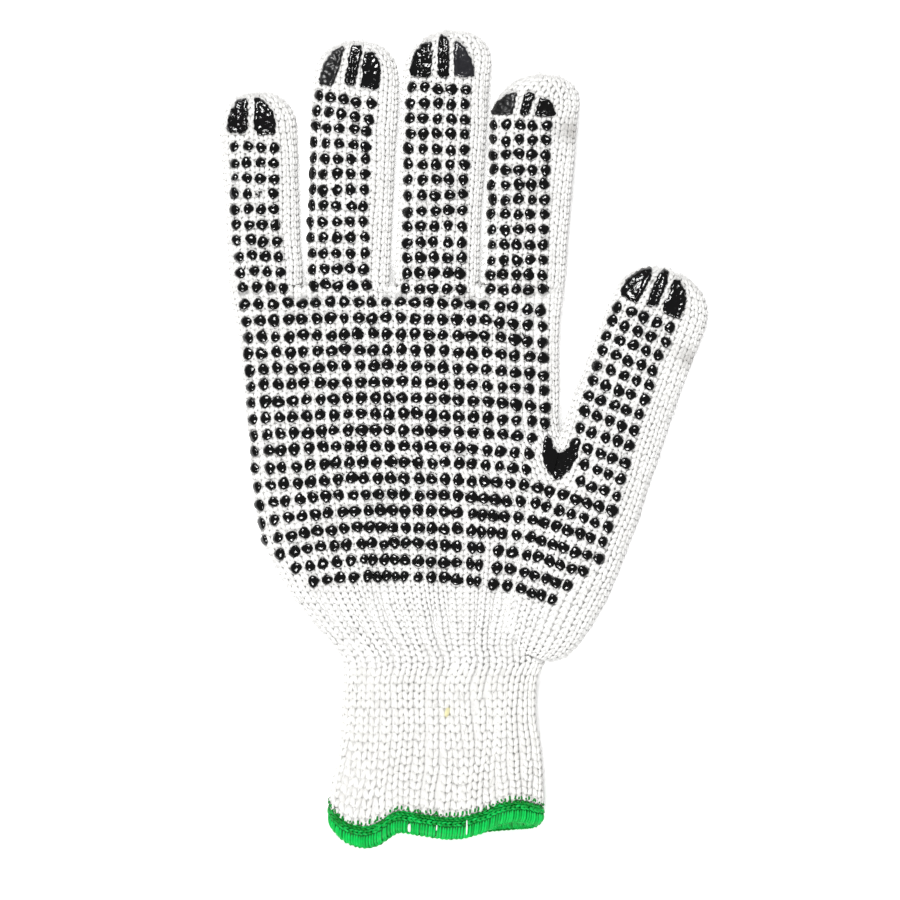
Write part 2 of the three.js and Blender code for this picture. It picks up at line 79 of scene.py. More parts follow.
# along, width, across, top
finger_rows = [
    (-0.14, 0.82, 0.0, 0.9),
    (0.0, 0.965, 0.0, 0.97),
    (0.22, 0.965, 0.0, 0.98),
    (0.46, 0.985, 0.0, 1.0),
    (0.66, 1.01, 0.0, 0.98),
]
thumb_rows = [
    (-0.325, 0.5, 0.0, 0.85),
    (-0.29, 0.74, 0.0, 0.98),
    (-0.19, 0.95, 0.0, 1.08),
    (-0.02, 1.07, 0.0, 1.16),
    (0.17, 1.06, 0.01, 1.12),
    (0.37, 0.98, 0.02, 1.03),
    (0.54, 0.965, 0.008, 0.98),
    (0.7, 0.95, 0.0, 1.0),
]
# along, left, right, gather, top, pleats
palm_rows = [
    (0.0, -0.498, 0.506, 0.0, 0.88, 0.0),
    (0.1, -0.474, 0.49, 0.0, 0.96, 0.0),
    (0.25, -0.453, 0.491, 0.0, 0.99, 0.0),
    (0.38, -0.438, 0.494, 0.0, 1.0, 0.0),
    (0.46, -0.43, 0.54, 0.0, 1.0, 0.0),
    (0.57, -0.418, 0.58, 0.0, 1.0, 0.1),
    (0.66, -0.405, 0.586, 0.02, 1.0, 0.25),
    (0.72, -0.4, 0.586, 0.1, 1.0, 0.5),
    (0.78, -0.4, 0.586, 0.24, 0.99, 0.8),
    (0.83, -0.4, 0.586, 0.38, 0.98, 1.0),
    (0.93, -0.4, 0.586, 0.77, 0.94, 0.8),
    (0.965, -0.4, 0.586, 0.93, 0.92, 0.6),
    (1.0, -0.4, 0.586, 1.0, 0.9, 0.4),
]
# along, flare left, flare right, top, pleats, wave, lift
cuff_rows = [
    (0.0, 0.0, 0.0, 0.97, 0.4, 0.0, 0.0),
    (0.36, 0.006, 0.002, 0.94, 0.2, 0.06, 0.0),
    (0.54, 0.024, 0.024, 0.97, 0.3, 0.2, 0.1),
    (0.72, 0.045, 0.033, 1.02, 0.4, 0.45, 0.4),
    (0.88, 0.068, 0.036, 1.09, 0.4, 0.78, 0.8),
    (1.0, 0.076, 0.036, 1.15, 0.4, 1.0, 1.0),
]
# The thumb's lowest ring, and where its lining starts, as shares of its length
thumb_foot, thumb_lining_foot = thumb_rows[0][0], thumb_rows[1][0]
# The root of the thumb, as shares of the palm's width and length
thumb_root = (0.503, -0.72)
# around, drop
hem_rows = [
    (0.0, -0.3),
    (0.037, -0.65),
    (0.058, -0.86),
    (0.09, -0.85),
    (0.121, -0.6),
    (0.142, -0.2),
    (0.163, 0.0),
    (0.19, 0.24),
    (0.227, 0.3),
    (0.29, 0.0),
    (0.33, -0.15),
    (0.351, 0.2),
    (0.373, 0.7),
    (0.4, 0.95),
    (0.428, 0.8),
    (0.45, 0.45),
    (0.474, -0.2),
    (0.5, -0.6),
    (0.56, -0.3),
    (0.66, 0.0),
    (0.8, 0.1),
    (0.9, -0.1),
    (0.96, -0.25),
    (1.0, -0.3),
]
wrist_y = -palm_length
hem_y = wrist_y - cuff_length
cuff_left = cuff_offset - cuff_width / 2
cuff_right = cuff_offset + cuff_width / 2

# Where the finger line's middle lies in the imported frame
offset = np.array(
    [
        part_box("palm_body")[0].x * 1000 - palm_rows[0][1] * palm_width,
        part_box("palm_body")[1].y * 1000 - knit_wall,
        0.0,
    ]
)


def read_table(rows, place):
    """A table's other columns at a place between its rows, along a smooth curve through them."""
    last = len(rows) - 1
    i = 0
    while i < last - 1 and rows[i + 1][0] <= place:
        i += 1
    a, b = np.array(rows[i]), np.array(rows[i + 1])
    before, after = np.array(rows[max(i - 1, 0)]), np.array(rows[min(i + 2, last)])
    step = b[0] - a[0]
    t = min(max((place - a[0]) / step, 0.0), 1.0)
    slope_a = (b - before) / (b[0] - before[0]) * step
    slope_b = (after - a) / (after[0] - a[0]) * step
    curve = (2 * t**3 - 3 * t**2 + 1) * a + (t**3 - 2 * t**2 + t) * slope_a
    return (curve + (3 * t**2 - 2 * t**3) * b + (t**3 - t**2) * slope_b)[1:]


def oval_ring(left, right, bottom, top, squareness, count):
    """A flattened oval with a flat underside, as x and z at equal steps of its own length."""
    angle = np.linspace(0, 2 * np.pi, 721)
    c, s = np.cos(angle), np.sin(angle)
    power = 2 / squareness
    x = (left + right) / 2 + (right - left) / 2 * np.sign(c) * np.abs(c) ** power
    up = np.abs(s) ** power
    middle = bottom + (top - bottom) * oval_middle
    under = middle - (middle - bottom) * np.minimum(1, 1.25 * up)
    z = np.where(angle <= np.pi, middle + (top - middle) * up, under)
    run = np.concatenate([[0], np.cumsum(np.hypot(np.diff(x), np.diff(z)))])
    at = np.arange(count) / count * run[-1]
    return np.interp(at, run, x), np.interp(at, run, z)


def finger_tops(x, inset):
    """The fingers' own height along the finger line, with a low web between each two."""
    top = finger_rows[1][3] * finger_height - inset
    middle = inset + (top - inset) * oval_middle
    highest = np.full(len(x), middle + (top - middle) * 0.62)
    for _, _, width, root, _, _ in fingers:
        half = (width * palm_width - finger_gap / 2) * finger_rows[1][1] / 2 - inset
        away = np.clip(abs(x - root * palm_width) / half, 0, 1)
        highest = np.maximum(highest, middle + (top - middle) * (1 - away**2.5) ** 0.4)
    return highest


def body_ring(y, inset, count, pleated=True):
    """One ring of the palm or cuff, that far inside the knit's outer face."""
    if y >= wrist_y:
        left, right, gather, top, pleats = read_table(palm_rows, max(-y, 0) / palm_length)
        flare_left = flare_right = lift = wave = 0.0
        height = top * palm_height
    else:
        place = (wrist_y - y) / cuff_length
        flare_left, flare_right, top, pleats, wave, lift = read_table(cuff_rows, place)
        left = right = 0.0
        gather = 1.0
        height = top * cuff_height
    pleats *= pleat_depth
    inside = inset if pleated else inset + pleats / 2
    bunched = bunch_size * math.exp(-(((y - wrist_y - bunch_height) / bunch_length) ** 2))
    left = left * palm_width * (1 - gather) + cuff_left * gather - flare_left * cuff_width
    right = right * palm_width * (1 - gather) + cuff_right * gather + flare_right * cuff_width
    x, z = oval_ring(
        left + inside,
        right + bunched - inside,
        lift * (hem_thickness - knit_wall) / 2 + inside,
        height - inside,
        palm_squareness,
        count,
    )
    near_fingers = min(max((y + web_reach) / web_reach, 0), 1)
    near_fingers *= near_fingers * (3 - 2 * near_fingers)
    if near_fingers:
        z = z + near_fingers * (np.minimum(z, np.maximum(finger_tops(x, inset), inset)) - z)
    share = np.arange(count) / count
    ys = np.full(count, float(y))
    if pleated:
        dx, dz = np.roll(x, -1) - np.roll(x, 1), np.roll(z, -1) - np.roll(z, 1)
        size = np.hypot(dx, dz)
        sunk = pleats * (0.5 - 0.5 * np.cos(2 * np.pi * pleat_count * share))
        x, z = x - dz / size * sunk, z + dx / size * sunk
    if wave:
        ys = ys - wave * hem_wave * np.array([read_table(hem_rows, u)[0] for u in share])
    return np.stack([x, ys, z], axis=1)


class Tube:
    """A finger or the thumb: a flattened tube that is closed by a round end."""

    def __init__(self, name, rows, length, width, height, tip_shift, x, y, lean):
        self.name, self.rows, self.length, self.width = name, rows, length, width
        self.height, self.tip_shift = height, tip_shift
        self.root = np.array([x, y, 0.0])
        self.across = np.array([math.cos(lean), -math.sin(lean), 0.0])
        self.axis = np.array([math.sin(lean), math.cos(lean), 0.0])

    def place(self, side, along, z):
        side, along, z = np.broadcast_arrays(side, along, z)
        flat = side[..., None] * self.across + along[..., None] * self.axis
        return self.root + flat + z[..., None] * np.array([0.0, 0.0, 1.0])

    def rings(self, inset, count, start, step):
        """Rings from start, a share of the length, to the tip."""
        tip_radius = self.width * self.rows[-1][1] / 2
        tip_start = self.length - tip_radius
        rings = []
        for along in np.arange(start * self.length, tip_start - step / 2, step):
            width, across, top = read_table(self.rows, along / self.length)
            half, side = width * self.width / 2 - inset, across * self.width
            top = top * self.height - inset
            x, z = oval_ring(side - half, side + half, inset, top, tube_squareness, count)
            rings.append(self.place(x, along, z))
        middle, top = tip_middle * self.height, self.rows[-1][3] * self.height
        for angle in np.radians(np.linspace(0, 87, 13)):
            reach, close = math.sin(angle) ** (2 / 2.3), math.cos(angle) ** (2 / 2.3)
            shift = self.tip_shift * self.width * reach
            half = (tip_radius - inset) * close
            over = (top - middle - inset) * close**0.75
            under = (middle - inset) * close**0.5
            bottom, height = middle - under, middle + over
            x, z = oval_ring(shift - half, shift + half, bottom, height, tube_squareness, count)
            rings.append(self.place(x, tip_start + (tip_radius - inset) * reach, z))
        return rings


def finger_tube(name, length, width, root, tip, tip_shift):
    lean = math.atan2((tip - root) * palm_width, length * finger_length)
    width = width * palm_width - finger_gap / 2
    place = (root * palm_width, 0.0, lean)
    return Tube(name, finger_rows, length * finger_length, width, finger_height, tip_shift, *place)


tubes = {row[0]: finger_tube(*row) for row in fingers}
tubes["thumb"] = Tube(
    "thumb",
    thumb_rows,
    thumb_length,
    thumb_width,
    thumb_height,
    0.0,
    thumb_root[0] * palm_width,
    thumb_root[1] * palm_length,
    math.radians(thumb_lean),
)


class Surface:
    """A smooth face through rings of points. u is the share of the way round, and s the millimetres
    along from the first ring."""

    def __init__(self, rings):
        points = np.array(rings)
        steps = np.linalg.norm(np.diff(points, axis=0), axis=2).mean(axis=1)
        run = np.concatenate([[0], np.cumsum(steps)])
        self.reach = run[-1]
        self.rows = int(self.reach / 0.6) + 2
        at = np.linspace(0, self.reach, self.rows)
        i = np.clip(np.searchsorted(run, at, side="right") - 1, 0, len(run) - 2)
        f = ((at - run[i]) / (run[i + 1] - run[i]))[:, None, None]
        self.points = points[i] * (1 - f) + points[i + 1] * f
        self.count = points.shape[1]
        around = np.roll(self.points, -1, axis=1) - np.roll(self.points, 1, axis=1)
        along = np.gradient(self.points, axis=0)
        normals = np.cross(around, along)
        normals /= np.linalg.norm(normals, axis=2, keepdims=True) + 1e-9
        outward = self.points - self.points.mean(axis=1, keepdims=True)
        self.turned = (normals * outward).sum() < 0
        self.normals = -normals if self.turned else normals
        closed = np.concatenate([self.points, self.points[:, :1]], axis=1)
        self.girth = np.linalg.norm(np.diff(closed, axis=1), axis=2).sum(axis=1)

    def at(self, u, s):
        """Places and outward directions at arrays of u and s."""
        r = np.clip(s / self.reach, 0, 1) * (self.rows - 1.001)
        i, c = r.astype(int), (u % 1.0) * self.count
        j = c.astype(int) % self.count
        k = (j + 1) % self.count
        f, g = (r - i)[..., None], (c - np.floor(c))[..., None]
        result = []
        for grid in (self.points, self.normals):
            low = grid[i, j] * (1 - g) + grid[i, k] * g
            high = grid[i + 1, j] * (1 - g) + grid[i + 1, k] * g
            result.append(low * (1 - f) + high * f)
        result[1] = result[1] / np.linalg.norm(result[1], axis=-1, keepdims=True)
        return result

    def girth_at(self, s):
        at = np.linspace(0, self.reach, self.rows)
        return np.interp(s, at, self.girth)

    def tree(self, every=3):
        """The face and its two ends as a tree for rays and nearest points."""
        grid = self.points[::every]
        rows, count = grid.shape[:2]
        vertices = [Vector(p) for p in grid.reshape(-1, 3)]
        faces = []
        for r in range(rows - 1):
            for i in range(count):
                j = (i + 1) % count
                face = [r * count + i, r * count + j, (r + 1) * count + j, (r + 1) * count + i]
                faces.append(face[::-1] if self.turned else face)
        first, last = list(range(count)), list(range((rows - 1) * count, rows * count))
        faces += [first, last[::-1]] if self.turned else [first[::-1], last]
        return BVHTree.FromPolygons(vertices, faces)


# The palm's face and the cuff's both run past the wrist, so that their stitches meet there
past_wrist = 2.4
ring_points = 160
body_heights = np.concatenate([np.arange(1.2, wrist_y - past_wrist, -1.5), [wrist_y - past_wrist]])
cuff_heights = np.linspace(wrist_y + past_wrist, hem_y, 36)
palm_face = Surface([body_ring(y, 0, ring_points) for y in body_heights])
cuff_face = Surface([body_ring(y, 0, ring_points) for y in cuff_heights])
tube_faces = {
    name: Surface(tube.rings(0, 80, thumb_foot if name == "thumb" else -0.02, 1.5))
    for name, tube in tubes.items()
}
palm_tree = palm_face.tree()
tube_trees = {name: face.tree() for name, face in tube_faces.items()}


def depth_in(tree, points):
    """How deep each point lies inside a closed face, or less than nought outside it."""
    depths = []
    look = Vector((0.03, 0.05, 1.0)).normalized()
    for p in points:
        distance = tree.find_nearest(Vector(p))[3]
        normal = tree.ray_cast(Vector(p), look)[1]
        depths.append(distance if normal is not None and normal.dot(look) > 0 else -distance)
    return np.array(depths)


def near_points(face):
    """The face's own points, set out so that the nearest to a place are quickly found."""
    points = face.points.reshape(-1, 3)
    near = KDTree(len(points))
    for i, p in enumerate(points):
        near.insert(p, i)
    near.balance()
    return near


top_faces = [(palm_face, palm_tree, near_points(palm_face))]
top_faces += [(face, tube_trees[name], near_points(face)) for name, face in tube_faces.items()]


def on_top(x, y):
    """The palm side of the glove above a place in plan, as a place and an outward direction."""
    best = None
    for face, tree, near in top_faces:
        place = tree.ray_cast(Vector((x, y, 60.0)), Vector((0, 0, -1)))[0]
        if place is not None and (best is None or place.z > best[0].z):
            best = (place, face, near)
    if best is None:
        return None
    place, face, near = best
    normals = face.normals.reshape(-1, 3)
    mean = Vector((0, 0, 0))
    for _, index, distance in near.find_n(place, 5):
        mean += Vector(normals[index]) / (distance + 0.3)
    return place, mean.normalized()


# Making meshes


def make_piece(name, vertices, template, copies, material, slot, floats=None):
    """One object from many copies of a template's faces, with its vertices already in place."""
    mesh = bpy.data.meshes.new(name)
    count = len(template["vertices"])
    mesh.vertices.add(len(vertices))
    mesh.vertices.foreach_set("co", ((vertices + offset) / 1000).astype(np.float32).ravel())
    loops = template["loops"][None, :] + count * np.arange(copies)[:, None]
    mesh.loops.add(loops.size)
    mesh.loops.foreach_set("vertex_index", loops.astype(np.int32).ravel())
    starts = template["starts"][None, :] + len(template["loops"]) * np.arange(copies)[:, None]
    mesh.polygons.add(starts.size)
    mesh.polygons.foreach_set("loop_start", starts.astype(np.int32).ravel())
    mesh.polygons.foreach_set("use_smooth", np.ones(starts.size, bool))
    layer = mesh.uv_layers.new(name="yarn")
    layer.data.foreach_set("uv", np.tile(template["uv"], copies).astype(np.float32))
    for key, values in (floats or {}).items():
        attribute = mesh.attributes.new(key, "FLOAT", "POINT")
        attribute.data.foreach_set("value", np.repeat(values, count).astype(np.float32))
    mesh.update(calc_edges=True)
    mesh.validate()
    mesh.materials.append(material)
    piece = bpy.data.objects.new(name, mesh)
    bpy.context.scene.collection.objects.link(piece)
    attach(piece, "root")


def take_template(piece):
    """The vertices, faces and UVs of a modelled shape, which is then removed."""
    mesh = piece.data
    vertices = np.array([v.co for v in mesh.vertices])
    loops = np.array([loop.vertex_index for loop in mesh.loops])
    starts = np.array([p.loop_start for p in mesh.polygons])
    uv = np.array([d.uv for d in mesh.uv_layers.active.data]).ravel()
    bpy.data.objects.remove(piece)
    return {"vertices": vertices, "loops": loops, "starts": starts, "uv": uv}


def select_rings(piece, low, high):
    """Selects the rings of an upright shape whose height is between two levels."""
    form = bmesh.from_edit_mesh(piece.data)
    for v in form.verts:
        v.select_set(low <= abs(v.co.z) <= high)
    form.select_flush(True)
    bmesh.update_edit_mesh(piece.data)


def model_yarn(sides, rings, end_swell):
    """A length of yarn, fat in the middle with its ends closed, standing upright from 0 to 1."""
    bpy.ops.mesh.primitive_uv_sphere_add(segments=sides, ring_count=rings, radius=1.0)
    yarn = bpy.context.object
    bpy.ops.object.mode_set(mode="EDIT")
    bpy.ops.mesh.select_all(action="DESELECT")
    select_rings(yarn, 0.5, 0.97)
    bpy.ops.transform.resize(value=(end_swell, end_swell, 1.0))
    bpy.ops.mesh.select_all(action="SELECT")
    bpy.ops.transform.resize(value=(1.0, 1.0, 0.5))
    bpy.ops.transform.translate(value=(0.0, 0.0, 0.5))
    bpy.ops.object.mode_set(mode="OBJECT")
    return take_template(yarn)


def model_dot():
    """A drop of vinyl: a low dome with a rounded foot."""
    bpy.ops.mesh.primitive_uv_sphere_add(segments=11, ring_count=7, radius=1.0)
    dot = bpy.context.object
    bpy.ops.object.mode_set(mode="EDIT")
    bpy.ops.mesh.select_all(action="DESELECT")
    select_rings(dot, 0.1, 0.8)
    bpy.ops.transform.resize(value=(1.12, 1.12, 1.0))
    bpy.ops.object.mode_set(mode="OBJECT")
    return take_template(dot)


leg_template = model_yarn(5, 4, 1.22)
thread_template = model_yarn(6, 12, 1.15)
fibre_template = model_yarn(3, 6, 1.2)
dot_template = model_dot()


def lay_yarn(face, template, start, end, lift, sink, radius, flat=0.85):
    """Copies of a yarn template, bent along a face from start to end, which are pairs of arrays u and s.
    Lift is the height of the middle over the face, and sink is how far the ends lie below it."""
    shape = template["vertices"]
    levels, which = np.unique(np.round(shape[:, 2], 5), return_inverse=True)
    t = levels[None, :]
    u = start[0][:, None] * (1 - t) + end[0][:, None] * t
    s = start[1][:, None] * (1 - t) + end[1][:, None] * t
    centre, out = face.at(u, s)
    under = np.clip((-out[..., 2] - 0.3) / 0.6, 0, 1)
    height = lift[:, None] - sink * (2 * t - 1) ** 2 - 0.3 * under
    centre = centre + out * height[..., None]
    along = np.gradient(centre, axis=1)
    along /= np.linalg.norm(along, axis=2, keepdims=True) + 1e-9
    side = np.cross(along, out)
    side /= np.linalg.norm(side, axis=2, keepdims=True) + 1e-9
    up = np.cross(side, along)
    r = radius[:, None, None]
    spread = side[:, which] * shape[None, :, 0, None] + up[:, which] * shape[None, :, 1, None] * flat
    points = centre[:, which] + spread * r
    points[..., 2] = np.maximum(points[..., 2], 0.0)
    return points.reshape(-1, 3), centre[:, len(levels) // 2]


# Materials


def linear(colour):
    """An sRGB hex colour as linear values."""
    values = [int(colour[i : i + 2], 16) / 255 for i in (1, 3, 5)]
    return tuple(c / 12.92 if c <= 0.04045 else ((c + 0.055) / 1.055) ** 2.4 for c in values) + (1.0,)


def new_material(name):
    material = bpy.data.materials.new(name)
    material.use_nodes = True
    material.node_tree.nodes.clear()
    return material.node_tree, material


def add_node(tree, kind, settings=None, inputs=None):
    """Adds a node with its settings. Each input is a value, or the socket it is linked from."""
    node = tree.nodes.new(kind)
    for key, value in (settings or {}).items():
        setattr(node, key, value)
    for key, value in (inputs or {}).items():
        if isinstance(value, bpy.types.NodeSocket):
            tree.links.new(value, node.inputs[key])
        else:
            node.inputs[key].default_value = value
    return node


def finish_material(tree, looks):
    """Closes a material with its one shader, which has these inputs."""
    shader = add_node(tree, "ShaderNodeBsdfPrincipled", None, looks)
    add_node(tree, "ShaderNodeOutputMaterial", None, {"Surface": shader.outputs["BSDF"]})


def mottle(tree, grain, first, second, tinted=None):
    """Two colours that a noise fixed in the piece mixes, and with it the yarn's tint attribute where tinted
    gives the noise's share: a tone that differs at random in the knit, and painted shade on the hem's
    thread.
    Returns the noise and the mixed colour."""
    place = add_node(tree, "ShaderNodeTexCoord")
    cloud = add_node(tree, "ShaderNodeTexNoise", None, {"Vector": place.outputs["Object"]} | grain)
    tone = cloud.outputs["Fac"]
    if tinted is not None:
        tint = add_node(tree, "ShaderNodeAttribute", {"attribute_name": "tint"})
        terms = {0: tone, 1: tinted, 2: tint.outputs["Fac"]}
        tone = add_node(tree, "ShaderNodeMath", {"operation": "MULTIPLY_ADD"}, terms).outputs[0]
    colours = {"Factor": tone, 6: linear(first), 7: linear(second)}
    base = add_node(tree, "ShaderNodeMix", {"data_type": "RGBA"}, colours)
    return cloud.outputs["Fac"], base.outputs[2]


def strand_waves(tree, strands, turns):
    """Waves over a length of yarn, for the strands that show round it and turn so often along it."""
    uv = add_node(tree, "ShaderNodeUVMap", {"uv_map": "yarn"})
    parts = add_node(tree, "ShaderNodeSeparateXYZ", None, {0: uv.outputs[0]})
    terms = {0: parts.outputs[0], 1: strands * 2 * math.pi}
    around = add_node(tree, "ShaderNodeMath", {"operation": "MULTIPLY"}, terms)
    terms = {0: parts.outputs[1], 1: turns * 2 * math.pi, 2: around.outputs[0]}
    twist = add_node(tree, "ShaderNodeMath", {"operation": "MULTIPLY_ADD"}, terms)
    waves = add_node(tree, "ShaderNodeMath", {"operation": "SINE"}, {0: twist.outputs[0]})
    return waves.outputs[0]


def cotton_material(name, light, dark):
    """Bleached cotton string, spun from short fibres and knitted: matt, fuzzy and nearly white, with the
    twist of its two plies just to be seen."""
    tree, material = new_material(name)
    # Soft clouds of tone about 8 mm across
    _, colour = mottle(tree, {"Scale": 125.0, "Detail": 2.0}, light, dark, 0.55)
    # Marks on the knit: the attribute that says where they are, and their colour. The yellow one is a
    # stain, and of the grey smudges the one at the index finger's side is painted shade
    for mark, mark_colour in (("grey_smudge_and_shade", "#8E8880"), ("yellow", "#E6DC6A")):
        where = add_node(tree, "ShaderNodeAttribute", {"attribute_name": mark})
        colours = {"Factor": where.outputs["Fac"], 6: colour, 7: linear(mark_colour)}
        colour = add_node(tree, "ShaderNodeMix", {"data_type": "RGBA"}, colours).outputs[2]
    # Loose fibres about 0.15 mm thick, over two plies that turn four times along each length of yarn
    place = add_node(tree, "ShaderNodeTexCoord")
    fibre = add_node(
        tree,
        "ShaderNodeTexNoise",
        None,
        {"Vector": place.outputs["Object"], "Scale": 5200.0, "Detail": 3.0, "Roughness": 0.6},
    )
    terms = {0: strand_waves(tree, 2, 4), 1: 0.35, 2: fibre.outputs["Fac"]}
    height = add_node(tree, "ShaderNodeMath", {"operation": "MULTIPLY_ADD"}, terms)
    bump = add_node(
        tree,
        "ShaderNodeBump",
        None,
        {"Height": height.outputs[0], "Distance": 0.00009, "Strength": 0.7},
    )
    finish_material(
        tree,
        {
            "Base Color": colour,
            "Roughness": 0.95,
            "Diffuse Roughness": 1.0,
            "Specular IOR Level": 0.2,
            "Sheen Weight": 0.25,
            "Sheen Roughness": 0.5,
            "Normal": bump.outputs[0],
        },
    )
    return material


def lining_material(name, light, dark):
    """The inside of the knit: the same cotton, coloured darker as painted shade where the loops close up
    and little light gets in.
    """
    tree, material = new_material(name)
    loops, colour = mottle(tree, {"Scale": 520.0, "Detail": 3.0}, light, dark)
    bump = add_node(
        tree,
        "ShaderNodeBump",
        None,
        {"Height": loops, "Distance": 0.0004, "Strength": 0.8},
    )
    finish_material(
        tree,
        {
            "Base Color": colour,
            "Roughness": 0.95,
            "Diffuse Roughness": 1.0,
            "Normal": bump.outputs[0],
        },
    )
    return material


def vinyl_material(name, dark, light, smooth, rough):
    """Black plastisol, a soft vinyl printed wet on the knit and baked: glossy, with a skin that is lumpy
    where it has sunk between the stitches."""
    tree, material = new_material(name)
    # Lumps about 1 mm across and pinpricks about 0.25 mm across
    lumps, colour = mottle(tree, {"Scale": 1000.0, "Detail": 4.0, "Roughness": 0.55}, dark, light)
    gloss = add_node(
        tree,
        "ShaderNodeMapRange",
        None,
        {"Value": lumps, "To Min": smooth, "To Max": rough},
    )
    bump = add_node(
        tree,
        "ShaderNodeBump",
        None,
        {"Height": lumps, "Distance": 0.0005, "Strength": 0.2},
    )
    finish_material(
        tree,
        {
            "Base Color": colour,
            "Roughness": gloss.outputs[0],
            "IOR": 1.52,
            "Specular IOR Level": 0.75,
            "Normal": bump.outputs[0],
        },
    )
    return material


def thread_material(name, light, dark):
    """Green overlock thread, textured polyester: many fine bright filaments along each length."""
    tree, material = new_material(name)
    _, colour = mottle(tree, {"Scale": 900.0, "Detail": 3.0}, light, dark, 0.6)
    # Nine bundles of filaments show round each thread
    bump = add_node(
        tree,
        "ShaderNodeBump",
        None,
        {"Height": strand_waves(tree, 9, 0), "Distance": 0.00005, "Strength": 0.6},
    )
    finish_material(
        tree,
        {
            "Base Color": colour,
            "Roughness": 0.42,
            "Diffuse Roughness": 0.3,
            "Specular IOR Level": 0.3,
            "Normal": bump.outputs[0],
        },
    )
    return material


def paper_material(name):
    """The matt white card that the glove was laid on, so brightly lit that it shows no shade of its own."""
    tree, material = new_material(name)
    _, colour = mottle(tree, {"Scale": 900.0, "Detail": 2.0}, "#FBFBFB", "#F6F6F6")
    finish_material(
        tree,
        {
            "Base Color": colour,
            "Roughness": 0.9,
            "Emission Color": linear("#FFFFFF"),
            "Emission Strength": 0.35,
        },
    )
    return material


cotton = cotton_material("bleached_cotton_string", "#FBFBFA", "#EBEAE8")
rib_cotton = cotton_material("ribbed_cotton_with_elastic", "#FBFBF9", "#E8E7E4")
# The inside's colours are darker than the cotton's: painted shade between the stitches
lining = lining_material("cotton_knit_inside", "#F4F4F3", "#DDDCDA")
vinyl = vinyl_material("black_vinyl_plastisol", "#040404", "#09090A", 0.05, 0.15)
# A smooth vinyl coloured grey: the grey is a painted reflection on the middle finger's right pad
grey_reflection_vinyl = vinyl_material("black_vinyl_painted_grey_reflection", "#1C1C20", "#2A2A2F", 0.14, 0.26)
worn_vinyl = vinyl_material("black_vinyl_worn_matt", "#070708", "#131315", 0.22, 0.45)
green = thread_material("green_polyester_overlock_thread", "#0CF26C", "#00932E")
green_core = thread_material("green_overlock_shadowed_thread", "#078234", "#02561C")

# The knit's inside: one hollow hand, and the cuff


def closed_solid(name, points, faces):
    """A solid from points in millimetres, with its faces turned outwards."""
    mesh = bpy.data.meshes.new(name)
    mesh.from_pydata(((points + offset) / 1000).tolist(), [], faces)
    solid = bpy.data.objects.new(name, mesh)
    bpy.context.scene.collection.objects.link(solid)
    form = bmesh.new()
    form.from_mesh(mesh)
    bmesh.ops.recalc_face_normals(form, faces=form.faces)
    form.to_mesh(mesh)
    form.free()
    return solid


def loft(name, rings):
    """A closed solid through rings, with a fan over each end."""
    count = len(rings[0])
    points = np.concatenate([np.concatenate(rings), [rings[0].mean(0)], [rings[-1].mean(0)]])
    faces = []
    for r in range(len(rings) - 1):
        for i in range(count):
            j = (i + 1) % count
            faces.append((r * count + i, r * count + j, (r + 1) * count + j, (r + 1) * count + i))
    first, last = len(points) - 2, len(points) - 1
    top = (len(rings) - 1) * count
    for i in range(count):
        j = (i + 1) % count
        faces.append((first, j, i))
        faces.append((last, top + i, top + j))
    return closed_solid(name, points, faces)


def pipe(name, rings):
    """A closed skin through rings that come back to the first one."""
    count = len(rings[0])
    faces = []
    for r in range(len(rings)):
        n = (r + 1) % len(rings)
        for i in range(count):
            j = (i + 1) % count
            faces.append((r * count + i, r * count + j, n * count + j, n * count + i))
    return closed_solid(name, np.concatenate(rings), faces)


def combine(solid, others, operation):
    """Joins or cuts a solid with others, which are then removed."""
    for other in others:
        modifier = solid.modifiers.new("combine", "BOOLEAN")
        modifier.operation = operation
        modifier.solver = "MANIFOLD"
        modifier.object = other
        bpy.context.view_layer.objects.active = solid
        bpy.ops.object.modifier_apply(modifier=modifier.name)
        bpy.data.objects.remove(other)


def dress(piece, material, nodes):
    """A finished piece: its one material, its body and the solids that it stands for."""
    piece.data.materials.clear()
    piece.data.materials.append(material)
    for face in piece.data.polygons:
        face.use_smooth = True
    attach(piece, "root")
    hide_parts(*nodes)


def hand_form(name, heights, inset, palm_sides, tube_sides, finger_foot, pleated):
    """The palm and the five tubes as one solid, whose face lies that far inside the knit's outer face."""
    hand = loft(name, [body_ring(y, inset, palm_sides, pleated) for y in heights])
    solids = []
    for tube_name, tube in tubes.items():
        foot = thumb_lining_foot if tube_name == "thumb" else finger_foot
        solids.append(loft(tube_name, tube.rings(inset, tube_sides, foot, 3.0)))
    combine(hand, solids, "UNION")
    return hand


# The stitches lie on a lining, whose face is this far inside theirs
backing = 0.95
outside_y = [knit_wall - backing, *np.arange(-2.0, wrist_y, -3.0), wrist_y - 0.2]
hand = hand_form("hand_lining", outside_y, backing, 72, 32, -0.1, True)
inside_y = [*np.arange(-knit_wall, wrist_y, -3.0), wrist_y, wrist_y - 3]
hollow = hand_form("hand_hollow", inside_y, knit_wall, 60, 24, -0.12, False)
combine(hand, [hollow], "DIFFERENCE")
hand_nodes = ["palm_body", "little_finger", "ring_finger", "middle_finger", "index_finger", "thumb"]
dress(hand, lining, hand_nodes)

cuff_steps = np.linspace(wrist_y - 0.3, hem_y - 0.6, 16)
cuff_rings = [body_ring(y, backing, ring_points) for y in cuff_steps]
cuff_rings += [body_ring(y, knit_wall, ring_points) for y in cuff_steps[::-1]]
cuff_lining = pipe("cuff_lining", cuff_rings)
dress(cuff_lining, lining, ["rib_cuff"])

# The stitches

wale_width, course_height, leg_radius = 2.8, 1.95, 0.72
rib_count, rib_course, rib_radius, rib_half = 38, 2.42, 0.78, 0.46
# Each leg starts close to the middle of its stitch and leans out. These are shares of the stitch.
leg_start_aside, leg_start_along, leg_end_along = 0.25, 0.62, 0.72
palm_spread, rib_spread = 0.9, 0.74
